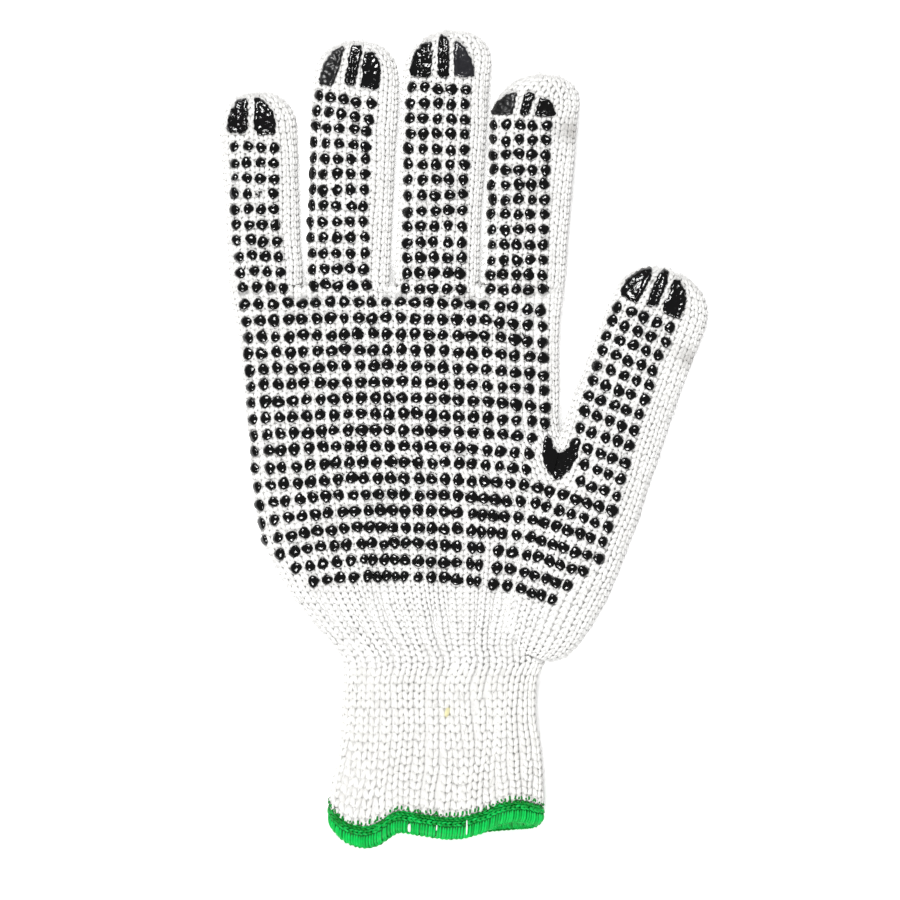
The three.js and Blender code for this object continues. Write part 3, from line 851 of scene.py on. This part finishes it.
# How far a leg's ends sink below its middle, how flat it is, and how deep the middles lie in the face
leg_sink, leg_flatness = 0.36, 0.82
knit_depth, rib_depth = 0.32, 0.27
# Every second wale of the palm sinks this much further where the knit has turned to rib
groove_depth = 0.85
# How far the wales wander from their course, in millimetres
palm_wander, gathered_wander, tube_wander, rib_wander = 1.2, 0.8, 1.1, 2.0

# Marks on the knit, in plan: place, radius, kind and strength. The yellow one is a stain; the grey smudge
# at the index finger's side is painted shade, and the other is a grey smudge at the thumb's side
marks = [
    ((16.0, -129.8), 0.85, "yellow", 0.5),
    ((54.0, 48.7), 3.4, "grey_smudge_and_shade", 0.4),
    ((90.0, -20.7), 3.0, "grey_smudge_and_shade", 0.35),
]


def mark_strength(places, kind):
    total = np.zeros(len(places))
    for (x, y), radius, what, strength in marks:
        if what == kind:
            away = np.hypot(places[:, 0] - x, places[:, 1] - y)
            total += strength * np.exp(-((away / radius) ** 2)) * (places[:, 2] > 5)
    return total


def knit_piece(name, face, u, s, half, height, lift, down, radius, spread, wander, dressing, keep=None):
    """V-shaped stitches at u and s. Half is half a stitch's width as a share of the way round, height is
    in millimetres, down is 1 where s runs to the cuff and -1 where it runs to the fingertip, spread is
    how far over its half of the stitch each leg leans, wander is in millimetres, dressing is the material
    and a slot name that is not used, and keep says which of the stitches show."""
    count = len(u)
    u = u + chance.normal(0, 0.035, count) * 2 * half
    s = s + chance.normal(0, 0.05, count) * height
    lift = lift + chance.normal(0, 0.05, count)
    radius = radius * (1 + chance.normal(0, 0.05, count))
    centre, _ = face.at(u, s)
    ripple = np.array([noise.noise(Vector(p) * 0.09) for p in centre])
    lift = lift + 0.3 * ripple
    # The wales wander, and neighbours wander together
    sway = np.array([noise.noise(Vector((p[0] * 0.09, p[1] * 0.045, 4.0))) for p in centre])
    u = u + wander * sway / face.girth_at(s)
    if keep is not None:
        chosen = keep(centre)
        u, s, half, height, lift, radius = (a[chosen] for a in (u, s, half, height, lift, radius))
        count = len(u)
    starts_u, starts_s, ends_u, ends_s = [], [], [], []
    for side in (-1, 1):
        starts_u.append(u + side * leg_start_aside * half)
        starts_s.append(s + down * leg_start_along * height)
        ends_u.append(u + side * spread * half)
        ends_s.append(s - down * leg_end_along * height)
    points, middles = lay_yarn(
        face,
        leg_template,
        (np.concatenate(starts_u), np.concatenate(starts_s)),
        (np.concatenate(ends_u), np.concatenate(ends_s)),
        np.tile(lift, 2),
        leg_sink,
        np.tile(radius, 2),
        leg_flatness,
    )
    tint = np.clip(chance.normal(0.12, 0.12, 2 * count), 0, 0.6)
    floats = {
        "tint": tint,
        "grey_smudge_and_shade": mark_strength(middles, "grey_smudge_and_shade"),
        "yellow": mark_strength(middles, "yellow"),
    }
    make_piece(name, points, leg_template, 2 * count, *dressing, floats)


def palm_stitches():
    """The palm's wales run straight down, and at the wrist every second one sinks between the ribs."""
    wales = 2 * rib_count
    first = 0.9
    run = palm_face.reach - past_wrist
    courses = int((run - first) / course_height) + 1
    c, w = np.meshgrid(np.arange(courses), np.arange(wales), indexing="ij")
    c, w = c.ravel(), w.ravel()
    s = first + c * (run - first) / (courses - 1)
    gather = np.array([read_table(palm_rows, v / run)[2] for v in s])
    ribbed = np.clip((gather - 0.25) / 0.75, 0, 1)
    odd = w % 2 == 1
    half = np.where(odd, 1 - 0.75 * ribbed, 1 + 0.75 * ribbed) / wales / 2
    lift = np.where(odd, -groove_depth, 0.07) * ribbed - knit_depth
    width = half * 2 * palm_face.girth_at(s)
    radius = leg_radius * np.clip(width / wale_width, 0.5, 1.12)
    shown = ~(odd & (ribbed > 0.85))
    thumb_tree = tube_trees["thumb"]
    for side, top in (("front", True), ("back", False)):
        pick = shown & ((w / wales < 0.5) == top)
        knit_piece(
            f"palm_{side}_stitches",
            palm_face,
            (w / wales)[pick],
            s[pick],
            half[pick],
            np.full(pick.sum(), course_height),
            lift[pick],
            1,
            radius[pick],
            palm_spread,
            (palm_wander + gathered_wander * ribbed)[pick],
            (cotton, "cotton_knit"),
            lambda p: depth_in(thumb_tree, p) < 0.5,
        )


def tube_stitches(name):
    """A finger's wales run up to its tip, where there are fewer of them in each course."""
    face = tube_faces[name]
    u, s, half = [], [], []
    full = round(np.median(face.girth) / wale_width / 2) * 2
    place = 0.4 if name == "thumb" else 3.3
    while place < face.reach - 0.5:
        wales = min(full, max(5, round(face.girth_at(place) / wale_width * 1.02)))
        if name == "thumb" and place < face.reach * 0.6:
            wales = full
        u.append(np.arange(wales) / wales)
        s.append(np.full(wales, place))
        half.append(np.full(wales, 0.5 / wales))
        place += course_height
    u, s, half = np.concatenate(u), np.concatenate(s), np.concatenate(half)
    knit_piece(
        f"{name}_stitches",
        face,
        u,
        s,
        half,
        np.full(len(u), course_height),
        np.full(len(u), -knit_depth),
        -1,
        leg_radius * np.clip(half * 2 * face.girth_at(s) / wale_width, 0.7, 1.12),
        palm_spread,
        tube_wander,
        (cotton, "cotton_knit"),
        lambda p: depth_in(palm_tree, p) < 0.5,
    )


def cuff_stitches():
    """One wale of the rib stands proud for each rib, with a groove between it and the next."""
    run = cuff_face.reach - past_wrist
    courses = round(run / rib_course)
    c, w = np.meshgrid(np.arange(courses), np.arange(rib_count), indexing="ij")
    c, w = c.ravel(), w.ravel()
    count = len(c)
    knit_piece(
        "cuff_stitches",
        cuff_face,
        w / rib_count,
        past_wrist + (c + 0.85) * run / courses,
        np.full(count, rib_half / rib_count),
        np.full(count, rib_course),
        np.full(count, -rib_depth),
        1,
        np.full(count, rib_radius),
        rib_spread,
        rib_wander,
        (rib_cotton, "cotton_rib"),
    )


palm_stitches()
for tube_name in tubes:
    tube_stitches(tube_name)
cuff_stitches()

# Loose fibres


def fuzz(name, face, count, material, slot):
    """Short fibres that stand off the knit in low arcs, fewer of them over the palm's print."""
    u, s = chance.uniform(0, 1, 3 * count), chance.uniform(0.5, face.reach - 0.5, 3 * count)
    _, out = face.at(u, s)
    kept = (chance.uniform(0, 1, 3 * count) > np.clip(out[:, 2], 0, 0.75)).nonzero()[0][:count]
    u, s = u[kept], s[kept]
    turn, length = chance.uniform(0, 2 * np.pi, len(u)), chance.uniform(1.5, 4.5, len(u))
    ends = (u + length * np.cos(turn) / face.girth_at(s), s + length * np.sin(turn))
    lift = chance.uniform(0.35, 0.95, len(u))
    points, middles = lay_yarn(
        face, fibre_template, (u, s), ends, lift, 0.9, chance.uniform(0.035, 0.06, len(u)), 1.0
    )
    floats = {"tint": np.zeros(len(u)), "grey_smudge_and_shade": mark_strength(middles, "grey_smudge_and_shade")}
    make_piece(name, points, fibre_template, len(u), material, slot, floats)


fuzz("palm_fuzz", palm_face, 1100, cotton, "cotton_knit")
for tube_name, face in tube_faces.items():
    fuzz(f"{tube_name}_fuzz", face, int(face.reach * 4.6), cotton, "cotton_knit")
fuzz("cuff_fuzz", cuff_face, 420, rib_cotton, "cotton_rib")

# The vinyl dots

# The picture is 900 pixels square, and the middle of the finger line is at this place in it
pixel, picture_size = 0.3083, 900
line_x, line_y = 395, 290
# A dot's height and how high its widest part lies over the knit, and its scatter in pixels
dot_height, dot_level, dot_scatter = 0.84, 0.33, 0.55
# The widest that a dot may be, as a share of the way to the next one
crowded_share = 0.46


def from_photo(x, y):
    """A place in plan, from its place across and down the picture."""
    return (x - line_x) * pixel, (line_y - y) * pixel


def palm_dots():
    """Eighteen rows that sag at both sides. The gathers at the wrist push the lower rows' columns together,
    and from the twelfth row they run on over the thumb's base."""
    first_x, first_y, pitch_x, pitch_y = 246, 303, 14.05, 15.87
    first_columns = (0,) * 15 + (1, 2, 3)
    last_columns = (21,) * 8 + (20,) * 3 + (27,) * 4 + (26, 25, 24)
    places = []
    for row in range(18):
        late = max(0, row - 9)
        level = first_y + pitch_y * row + 0.35 * max(0, row - 10)
        # How far columns 0, 7, 11, 16 and 19 have moved across from an even grid
        moved = (
            1.05 * row + 0.12 * max(0, row - 8) ** 2,
            0.6 * row + 0.22 * late**2,
            min(0.4 * row, 5),
            min(row / 3, 2) - 0.4 * late,
            min(0.5 * row, 4.5 - 2.7 * (row - 8)),
        )
        for column in range(first_columns[row], last_columns[row] + 1):
            # The fold at the thumb's base hides one dot in each of the last rows
            if row >= 15 and column == 18:
                continue
            inner = min(column, 21)
            x = first_x + pitch_x * inner + np.interp(inner, (0, 7, 11, 16, 19), moved)
            t = (x - 385) / 150
            left_sag = 3.3 + 0.5 * row + 2.0 * late
            right_sag = 7.2 + 0.15 * row + 1.6 * max(0, row - 13)
            y = level + (left_sag if t < 0 else right_sag) * t * t
            past = (12.3 - 0.33 * (row - 11)) * (column - inner)
            places.append((x + past, y + 0.31 * past))
    return places


def thumb_dots():
    """Twelve rows down the thumb, which drift outwards. V runs up along it from its root and u across."""
    lean = math.radians(thumb_lean)
    root_x, root_y = 563.0, 559.9
    places = []
    for row in range(12):
        v = 254 - 14.6 * row - 0.12 * row * row
        for column in range(0 if row < 10 else 1, 5):
            u = -12 + 0.1 * row * row + (14 - 0.1 * row) * (column - 2)
            x = root_x + u * math.cos(lean) + v * math.sin(lean)
            y = root_y + u * math.sin(lean) - v * math.cos(lean)
            places.append((x, y))
    return places


def finger_dots(start, columns, rows, pitch, lean, bend=0, slant=0, worn=(), turned=0):
    """A block of dots from its top left one. Lean and bend move each row along, slant drops its right end
    in the upper rows, the worn ones, as row and column, have come off, and the first column is turned
    round the finger's edge, which brings it in."""
    return [
        (
            start[0] + pitch[0] * c + lean * r + bend * r * r + (turned if c == 0 else 0),
            start[1] + pitch[1] * r + slant * c * max(0, 1 - r / 5),
        )
        for r in range(rows)
        for c in range(columns)
        if (r, c) not in worn
    ]


def lay_dots(name, places, size):
    """Drops of vinyl at places in the picture, each with its own size, tilt and lumpy outline. Size is
    their usual radius."""
    shape = dot_template["vertices"]
    around = np.arctan2(shape[:, 1], shape[:, 0])
    chunks = []
    plan = KDTree(len(places))
    for i, (x, y) in enumerate(places):
        plan.insert((*from_photo(x, y), 0), i)
    plan.balance()
    for x, y in places:
        # Dots that the gathers crowd are narrower
        neighbours = plan.find_n((*from_photo(x, y), 0), 2)[1:]
        narrow = min([1.0] + [crowded_share * away / size for _, _, away in neighbours])
        x, y = from_photo(x + chance.normal(0, dot_scatter), y + chance.normal(0, dot_scatter))
        found = on_top(x, y)
        if found is None or found[1].z < 0.1:
            continue
        place, normal = found
        side = Vector((1, 0, 0)).cross(normal).normalized()
        across = normal.cross(side).normalized()
        lump = 1 + 0.07 * np.sin(2 * around + chance.uniform(0, 6.3))
        lump += 0.07 * np.sin(3 * around + chance.uniform(0, 6.3))
        lump += 0.05 * np.cos(4 * around + chance.normal(0, 0.5))
        radius = size * chance.normal(1, 0.05) * lump
        tilt = chance.normal(0, 0.09, 2)
        rise = dot_height * chance.normal(1, 0.1)
        up = shape[:, 2] * rise * np.where(shape[:, 2] < 0, 0.9, 1)
        up = up + (shape[:, 0] * tilt[0] + shape[:, 1] * tilt[1]) * (shape[:, 2] > 0.1) * 2
        points = np.array(place) + np.outer(shape[:, 0] * radius * narrow, across)
        points += np.outer(shape[:, 1] * radius, side) + np.outer(dot_level + up, normal)
        chunks.append(points)
    make_piece(name, np.concatenate(chunks), dot_template, len(chunks), vinyl, "black_vinyl")


lay_dots("palm_dots", palm_dots(), 1.64)
lay_dots("thumb_dots", thumb_dots(), 1.62)
worn_places = ((3, 2), (2, 0))
little_dots = finger_dots((235.6, 148.5), 4, 10, (13.1, 15.5), -0.75, bend=0.19, worn=worn_places)
lay_dots("little_dots", little_dots, 1.52)
# One of the two worn dots is small and flat, and the other has only a few specks left
worn_specks = [(257.6, 195.2), (260.3, 193.4), (262.8, 192.1), (260.4, 197)]
lay_dots("worn_dot", [(235.9, 177.7)], 1.15)
lay_dots("worn_dot_specks", worn_specks, 0.4)
ring_dots = finger_dots((317.3, 96), 5, 13, (13.4, 15.8), -1.75, bend=0.113, slant=2.4, turned=1.9)
lay_dots("ring_dots", ring_dots, 1.55)
middle_dots = finger_dots((411.5, 88.3), 5, 14, (13.5, 15.45), -0.42, slant=0.8)
lay_dots("middle_dots", middle_dots, 1.58)
index_dots = finger_dots((493.8, 126), 5, 12, (12.9, 14.95), -0.3, slant=0.3)
lay_dots("index_dots", index_dots, 1.55)

# A few threads of vinyl were drawn out between the dots as the print was lifted
strings = [
    ((243, 276), (247, 266)),
    ((352, 300), (358, 309)),
    ((417, 452), (423, 459)),
    ((549, 497), (550, 507)),
    ((434, 205), (441, 213)),
    ((497, 271), (504, 279)),
    ((521, 333), (527, 341)),
    ((303, 410), (309, 417)),
]
string_radius = 0.22
chunks = []
for start, end in strings:
    (foot, foot_out), (head, head_out) = on_top(*from_photo(*start)), on_top(*from_photo(*end))
    low, high = foot + foot_out * 0.5, head + head_out * 0.55
    along = high - low
    side = along.cross(Vector((0, 0, 1))).normalized()
    up = side.cross(along).normalized()
    string = [low + along * z + (side * x + up * y) * string_radius for x, y, z in leg_template["vertices"]]
    chunks.append(string)
make_piece("vinyl_strings", np.concatenate(chunks), leg_template, len(chunks), vinyl, "black_vinyl")

# The moulded pads and the crescent

pad_thickness = 1.3
pad_voxel = 0.3
edge_step = 0.4
# How far the vinyl ran along the yarn at a pad's edge
fray_size = 0.58
# Each outline goes round the pad, by its place in the picture
pad_outlines = {
    "little_tip_pad_left": [
        (229, 134.5), (228.7, 122), (232, 111), (238, 103), (245, 99.5), (249, 101), (249, 135),
    ],
    "little_tip_pad_right": [
        (254.8, 136), (255, 101), (259, 99.5), (266, 103), (273, 112), (276.5, 124), (276, 136),
    ],
    "ring_tip_pad_left": [
        (320, 86), (321, 77), (325, 66), (331, 56), (338, 50), (345, 48.5), (342, 62), (338, 76),
        (334, 87.5),
    ],
    "ring_tip_pad_middle": [
        (345, 87), (347, 72), (350, 55), (351, 48.5), (356, 46.5), (362, 48), (362, 55), (359, 70),
        (355, 88),
    ],
    "ring_tip_pad_right": [
        (360, 89), (363, 78), (362, 66), (365, 55), (372, 53), (378, 59), (381, 70), (380, 80),
        (378, 91), (368, 90),
    ],
    "middle_tip_pad_left": [
        (410.5, 77), (411, 67), (414, 57), (419, 49.5), (426, 43), (432.5, 44), (432.5, 60), (431, 79),
        (420, 79),
    ],
    "middle_tip_pad_middle": [
        (438, 79), (437.5, 60), (438, 45), (440, 36), (445, 38), (449, 42), (449.5, 60), (448.5, 80),
    ],
    "middle_tip_pad_right": [
        (454, 77.5), (453.5, 60), (454, 45), (457, 42), (463, 47), (469, 56), (473, 67), (473, 78),
        (463, 79),
    ],
    "index_tip_pad_left": [
        (491.5, 115), (495, 108), (500, 100.5), (508, 95.5), (517.5, 94.5), (515, 105), (512, 116.5),
    ],
    "index_tip_pad_middle": [
        (518, 116.5), (521, 105), (525, 94.5), (535, 94), (532, 105), (528, 116.5),
    ],
    "index_tip_pad_right": [
        (534, 117.5), (536, 108), (539, 98.5), (547, 101), (553, 107.5), (555.5, 117.5), (545, 118),
    ],
    "thumb_tip_pad_left": [
        (619.7, 295), (623, 286), (631, 276), (644.7, 268.6), (653, 269), (650, 279), (645, 289.5),
        (636.5, 303.5), (628, 301),
    ],
    "thumb_tip_pad_middle": [
        (644.7, 306), (648, 298), (652, 288), (657, 275), (663, 270.5), (668.5, 272), (666, 284),
        (661, 296), (655.4, 308),
    ],
    "thumb_tip_pad_right": [
        (660.5, 312), (664, 303), (668, 294), (672, 281.5), (678, 280.5), (683, 288), (685, 300),
        (683, 310), (678.5, 319.6), (669, 317.5),
    ],
    "crotch_crescent": [
        (545.5, 435.5), (541.6, 444), (541.4, 455), (544, 465), (548.3, 474.1), (555.2, 479.5),
        (560, 479), (569, 470.3), (577, 457.5), (578.8, 447), (575.9, 441), (571, 445), (563.5, 452.5),
        (556.7, 453), (551.6, 447), (551, 440),
    ],
}


def ragged(outline):
    """An outline in plan with rounded corners, whose edge is ragged where vinyl ran along the yarn."""
    corners = np.array([from_photo(x, y) for x, y in outline])
    before, after = np.roll(corners, 1, axis=0), np.roll(corners, -1, axis=0)
    cut = np.stack([corners * 0.85 + before * 0.15, corners * 0.85 + after * 0.15], axis=1)
    loop = cut.reshape(-1, 2)
    loop = np.concatenate([loop, loop[:1]])
    run = np.concatenate([[0], np.cumsum(np.hypot(*np.diff(loop, axis=0).T))])
    at = np.arange(0, run[-1], edge_step)
    edge = np.stack([np.interp(at, run, loop[:, 0]), np.interp(at, run, loop[:, 1])], axis=1)
    out = np.roll(edge, -1, axis=0) - np.roll(edge, 1, axis=0)
    out = np.stack([out[:, 1], -out[:, 0]], axis=1)
    out /= np.hypot(*out.T)[:, None]
    fray = np.array([noise.noise(Vector((x * 0.9, y * 0.9, 3.0))) for x, y in edge])
    fray += 0.6 * np.array([noise.noise(Vector((x * 2.1, y * 2.1, 9.0))) for x, y in edge])
    return edge + out * fray[:, None] * fray_size


def vinyl_pad(name, outline, lumpy, material):
    """A pad moulded on the knit: a slab with a rounded rim, which is bent down on the glove's surface."""
    edge = ragged(outline)
    mesh = bpy.data.meshes.new(name)
    mesh.from_pydata([(x / 1000, y / 1000, 0) for x, y in edge], [], [list(range(len(edge)))])
    pad = bpy.data.objects.new(name, mesh)
    bpy.context.scene.collection.objects.link(pad)
    bpy.context.view_layer.objects.active = pad
    pad.select_set(True)
    bpy.ops.object.mode_set(mode="EDIT")
    bpy.ops.mesh.select_all(action="SELECT")
    bpy.ops.mesh.extrude_region_move(TRANSFORM_OT_translate={"value": (0, 0, pad_thickness / 1000)})
    bpy.ops.mesh.select_all(action="SELECT")
    bpy.ops.mesh.normals_make_consistent(inside=False)
    bpy.ops.object.mode_set(mode="OBJECT")
    remesh = pad.modifiers.new("skin", "REMESH")
    remesh.mode, remesh.voxel_size = "VOXEL", pad_voxel / 1000
    bpy.ops.object.modifier_apply(modifier=remesh.name)
    smooth = pad.modifiers.new("round", "SMOOTH")
    smooth.factor, smooth.iterations = 0.5, 4
    bpy.ops.object.modifier_apply(modifier=smooth.name)
    pad.select_set(False)
    points = np.zeros(len(pad.data.vertices) * 3)
    pad.data.vertices.foreach_get("co", points)
    points = points.reshape(-1, 3) * 1000
    near = KDTree(len(edge))
    for i, (x, y) in enumerate(edge):
        near.insert((x, y, 0), i)
    near.balance()
    for p in points:
        found = on_top(p[0], p[1])
        if found is None:
            continue
        place, normal = found
        inward = near.find((p[0], p[1], 0))[2]
        rim = 0.2 * math.exp(-(((inward - 0.8) / 0.5) ** 2))
        lumps = 0.26 * noise.noise(Vector((p[0] * 0.8, p[1] * 0.8, 5.0)))
        lumps += 0.16 * noise.noise(Vector((p[0] * 1.9, p[1] * 1.9, 1.0)))
        wales = math.sin(p[0] * 2 * math.pi / wale_width)
        loops = 0.05 * wales * math.sin(p[1] * 2 * math.pi / course_height)
        level = p[2] / pad_thickness
        rise = -0.4 + p[2] + level * (rim + lumpy * (lumps + loops) - 0.1)
        p[:] = (np.array(place) + np.array(normal) * rise + offset) / 1000
    pad.data.vertices.foreach_set("co", points.ravel())
    pad.data.update()
    dress(pad, material, [name])


# How lumpy each one's skin is, where it isn't as on most
usual_lumps = 0.6
lumpy_pads = {
    "little_tip_pad_left": 1.5,
    "ring_tip_pad_left": 1.1,
    "ring_tip_pad_middle": 1.5,
    "middle_tip_pad_left": 1.2,
    "middle_tip_pad_middle": 1.2,
    "middle_tip_pad_right": 0.15,
    "index_tip_pad_left": 0.9,
    "thumb_tip_pad_left": 0.4,
    "thumb_tip_pad_middle": 0.9,
    "crotch_crescent": 0.5,
}
# The pads whose gloss has worn off, and one whose grey colour is a painted reflection
worn_and_painted_reflection_pads = {
    "middle_tip_pad_right": grey_reflection_vinyl,
    "index_tip_pad_left": worn_vinyl,
    "ring_tip_pad_left": worn_vinyl,
}
for pad_name, outline in pad_outlines.items():
    lumpy = lumpy_pads.get(pad_name, usual_lumps)
    vinyl_pad(pad_name, outline, lumpy, worn_and_painted_reflection_pads.get(pad_name, vinyl))

# The overlocked hem


def hem_rings(inset):
    """Rings round the cuff's end, in order round the hem's own section from its upper outer edge, over
    the outer face, under the edge and up the inside."""
    outer, inner = body_ring(hem_y, 0, ring_points), body_ring(hem_y, knit_wall, ring_points)
    middle = (outer + inner) / 2
    outward = (outer - inner) / np.linalg.norm(outer - inner, axis=1, keepdims=True)
    rings = []
    # The band is narrower where its ends meet on the thumb's side
    share = np.arange(ring_points) / ring_points
    from_end = np.minimum(share, 1 - share)
    narrow = 1 - 0.32 * np.exp(-((from_end / 0.022) ** 2))
    for angle in np.radians(np.linspace(90, -270, 41)[:-1]):
        c, s = math.cos(angle), math.sin(angle)
        out = (hem_thickness / 2 - inset) * math.copysign(abs(c) ** 0.7, c)
        down = hem_height / 2 - (hem_height / 2 - inset) * math.copysign(abs(s) ** 0.85, s)
        ring = middle + outward * out
        ring[:, 1] -= join_gap + down * narrow
        rings.append(np.stack([ring[:, 0], ring[:, 1], np.maximum(ring[:, 2], inset)], axis=1))
    return rings


hem_core = pipe("hem_core", hem_rings(0.8))
dress(hem_core, green_core, ["overlock_hem"])
hem_face = Surface(hem_rings(0.5))
hem_girth = hem_face.girth_at(hem_face.reach * 0.25)


def hem_threads(name, template, face, start, end, lift, sink, radius, shade):
    """Lengths of the hem's thread. Shade is from 0 where they catch the light to 1 in the hollows."""
    count = len(start[0])
    points, _ = lay_yarn(face, template, start, end, np.full(count, lift), sink, radius)
    tint = np.clip(chance.normal(shade, 0.2, count), 0, 1)
    make_piece(name, points, template, count, green, "green_yarn", {"tint": tint})


# How far apart the hem's wraps, its loops and its bites into the rib are
wrap_pitch, loop_pitch, bite_pitch = 0.85, 1.55, 1.25

# Satin wraps go from the middle of the outer face round the edge, and from there up the inner one
wraps = int(hem_girth / wrap_pitch)
u = np.arange(wraps) / wraps + chance.normal(0, 0.0006, wraps)
wrap_spans = {
    "outside": (2.9, 0.62 * hem_face.reach),
    "inside": (0.5 * hem_face.reach, hem_face.reach - 0.3),
}
for side, (start, end) in wrap_spans.items():
    hem_threads(
        f"hem_wraps_{side}",
        thread_template,
        hem_face,
        (u, start + chance.normal(0, 0.12, wraps)),
        (u + 0.003, np.full(wraps, end)),
        0.05,
        0.25,
        0.43 * chance.normal(1, 0.05, wraps),
        0.12,
    )

# Three chains of loops run round the hem: two on the band next to the rib and one on its edge
# level, spread, length, shade
chain_rows = [
    (0.75, 0.62, 1.25, 0.6),
    (2.25, 0.62, 1.25, 0.35),
    (7.15, 0.55, 1.1, 0.3),
]
loops = int(hem_girth / loop_pitch)
for row, (level, spread, length, shade) in enumerate(chain_rows):
    u = (np.arange(loops) + 0.5 * (row % 2)) / loops + chance.normal(0, 0.0006, loops)
    step = length / loops
    starts_u = np.concatenate([u, u])
    ends_u = np.concatenate([u + step, u + step])
    starts_s = np.concatenate([np.full(loops, level - spread), np.full(loops, level + spread)])
    ends_s = np.concatenate([np.full(loops, level - 0.12), np.full(loops, level + 0.12)])
    ends_s = ends_s + chance.normal(0, 0.06, 2 * loops)
    hem_threads(
        f"hem_chain_{row + 1}",
        leg_template,
        hem_face,
        (starts_u, starts_s),
        (ends_u, ends_s),
        0.3,
        0.35,
        0.37 * chance.normal(1, 0.08, 2 * loops),
        shade,
    )

# The thread bites into the rib, which gives the hem its jagged upper edge
bites = int(hem_girth / bite_pitch)
u = np.arange(bites) / bites + chance.normal(0, 0.0012, bites)
reach = cuff_face.reach - chance.uniform(0.2, 1.5, bites)
hem_threads(
    "hem_bites",
    leg_template,
    cuff_face,
    (u, np.full(bites, cuff_face.reach + 0.4)),
    (u + chance.normal(0, 0.002, bites), reach),
    0.35,
    0.4,
    0.34 * chance.normal(1, 0.1, bites),
    0.85,
)

# White cotton shows through the hem in three places
# across the picture, upper end and lower end down the hem's face, radius
nicks = np.array([(410, 3.6, 6.3, 0.5), (437, 2.6, 4.6, 0.22), (467, 1.0, 6.3, 0.26)])
around = np.linspace(0.1, 0.4, 400)
outer_face, _ = hem_face.at(around, np.full(400, 4.0))
nick_u = around[[np.argmin(abs(outer_face[:, 0] - from_photo(x, 0)[0])) for x in nicks[:, 0]]]
points, _ = lay_yarn(
    hem_face,
    leg_template,
    (nick_u, nicks[:, 1]),
    (nick_u + 0.001, nicks[:, 2]),
    np.full(len(nicks), 0.45),
    0.3,
    nicks[:, 3],
)
untinted = {"tint": np.zeros(len(nicks))}
make_piece("hem_cotton_nicks", points, leg_template, len(nicks), cotton, "cotton_knit", untinted)

# The floor, the camera and the light

bpy.ops.mesh.primitive_plane_add(size=6.0, location=(0, 0, -0.0002))
floor = bpy.context.object
floor.name = "white_card"
floor.data.materials.append(paper_material("matt_white_card"))

camera_data = bpy.data.cameras.new("camera")
camera = bpy.data.objects.new("camera", camera_data)
bpy.context.scene.collection.objects.link(camera)
# How high the camera stands, and the height at which the picture's scale holds, in metres
camera_height, scale_height = 1.35, 0.006
view_width = picture_size * pixel / 1000
camera_data.sensor_width = 36.0
camera_data.lens = camera_data.sensor_width * (camera_height - scale_height) / view_width
picture_x, picture_y = from_photo(picture_size / 2, picture_size / 2)
camera.location = ((picture_x + offset[0]) / 1000, (picture_y + offset[1]) / 1000, camera_height)
camera_data.clip_start, camera_data.clip_end = 0.05, 20.0
bpy.context.scene.camera = camera

# Both soft boxes are alike, in metres and watts
box_width, box_depth, box_power = 0.5, 0.36, 15.5
world_strength = 0.12


def soft_box(name, place):
    """An oblong soft box that faces the middle of the glove."""
    data = bpy.data.lights.new(name, "AREA")
    data.shape, data.size, data.size_y, data.energy = "RECTANGLE", box_width, box_depth, box_power
    light = bpy.data.objects.new(name, data)
    light.location = place
    light.rotation_euler = (-Vector(place)).to_track_quat("-Z", "Y").to_euler()
    bpy.context.scene.collection.objects.link(light)


soft_box("soft_box_far", (-0.2, 0.9, 1.2))
soft_box("soft_box_near", (-0.2, -0.9, 1.2))

world = bpy.data.worlds.new("studio")
world.use_nodes = True
bpy.context.scene.world = world
background = world.node_tree.nodes["Background"]
background.inputs["Color"].default_value = linear("#FFFFFF")
background.inputs["Strength"].default_value = world_strength
bpy.context.scene.view_settings.view_transform = "Standard"
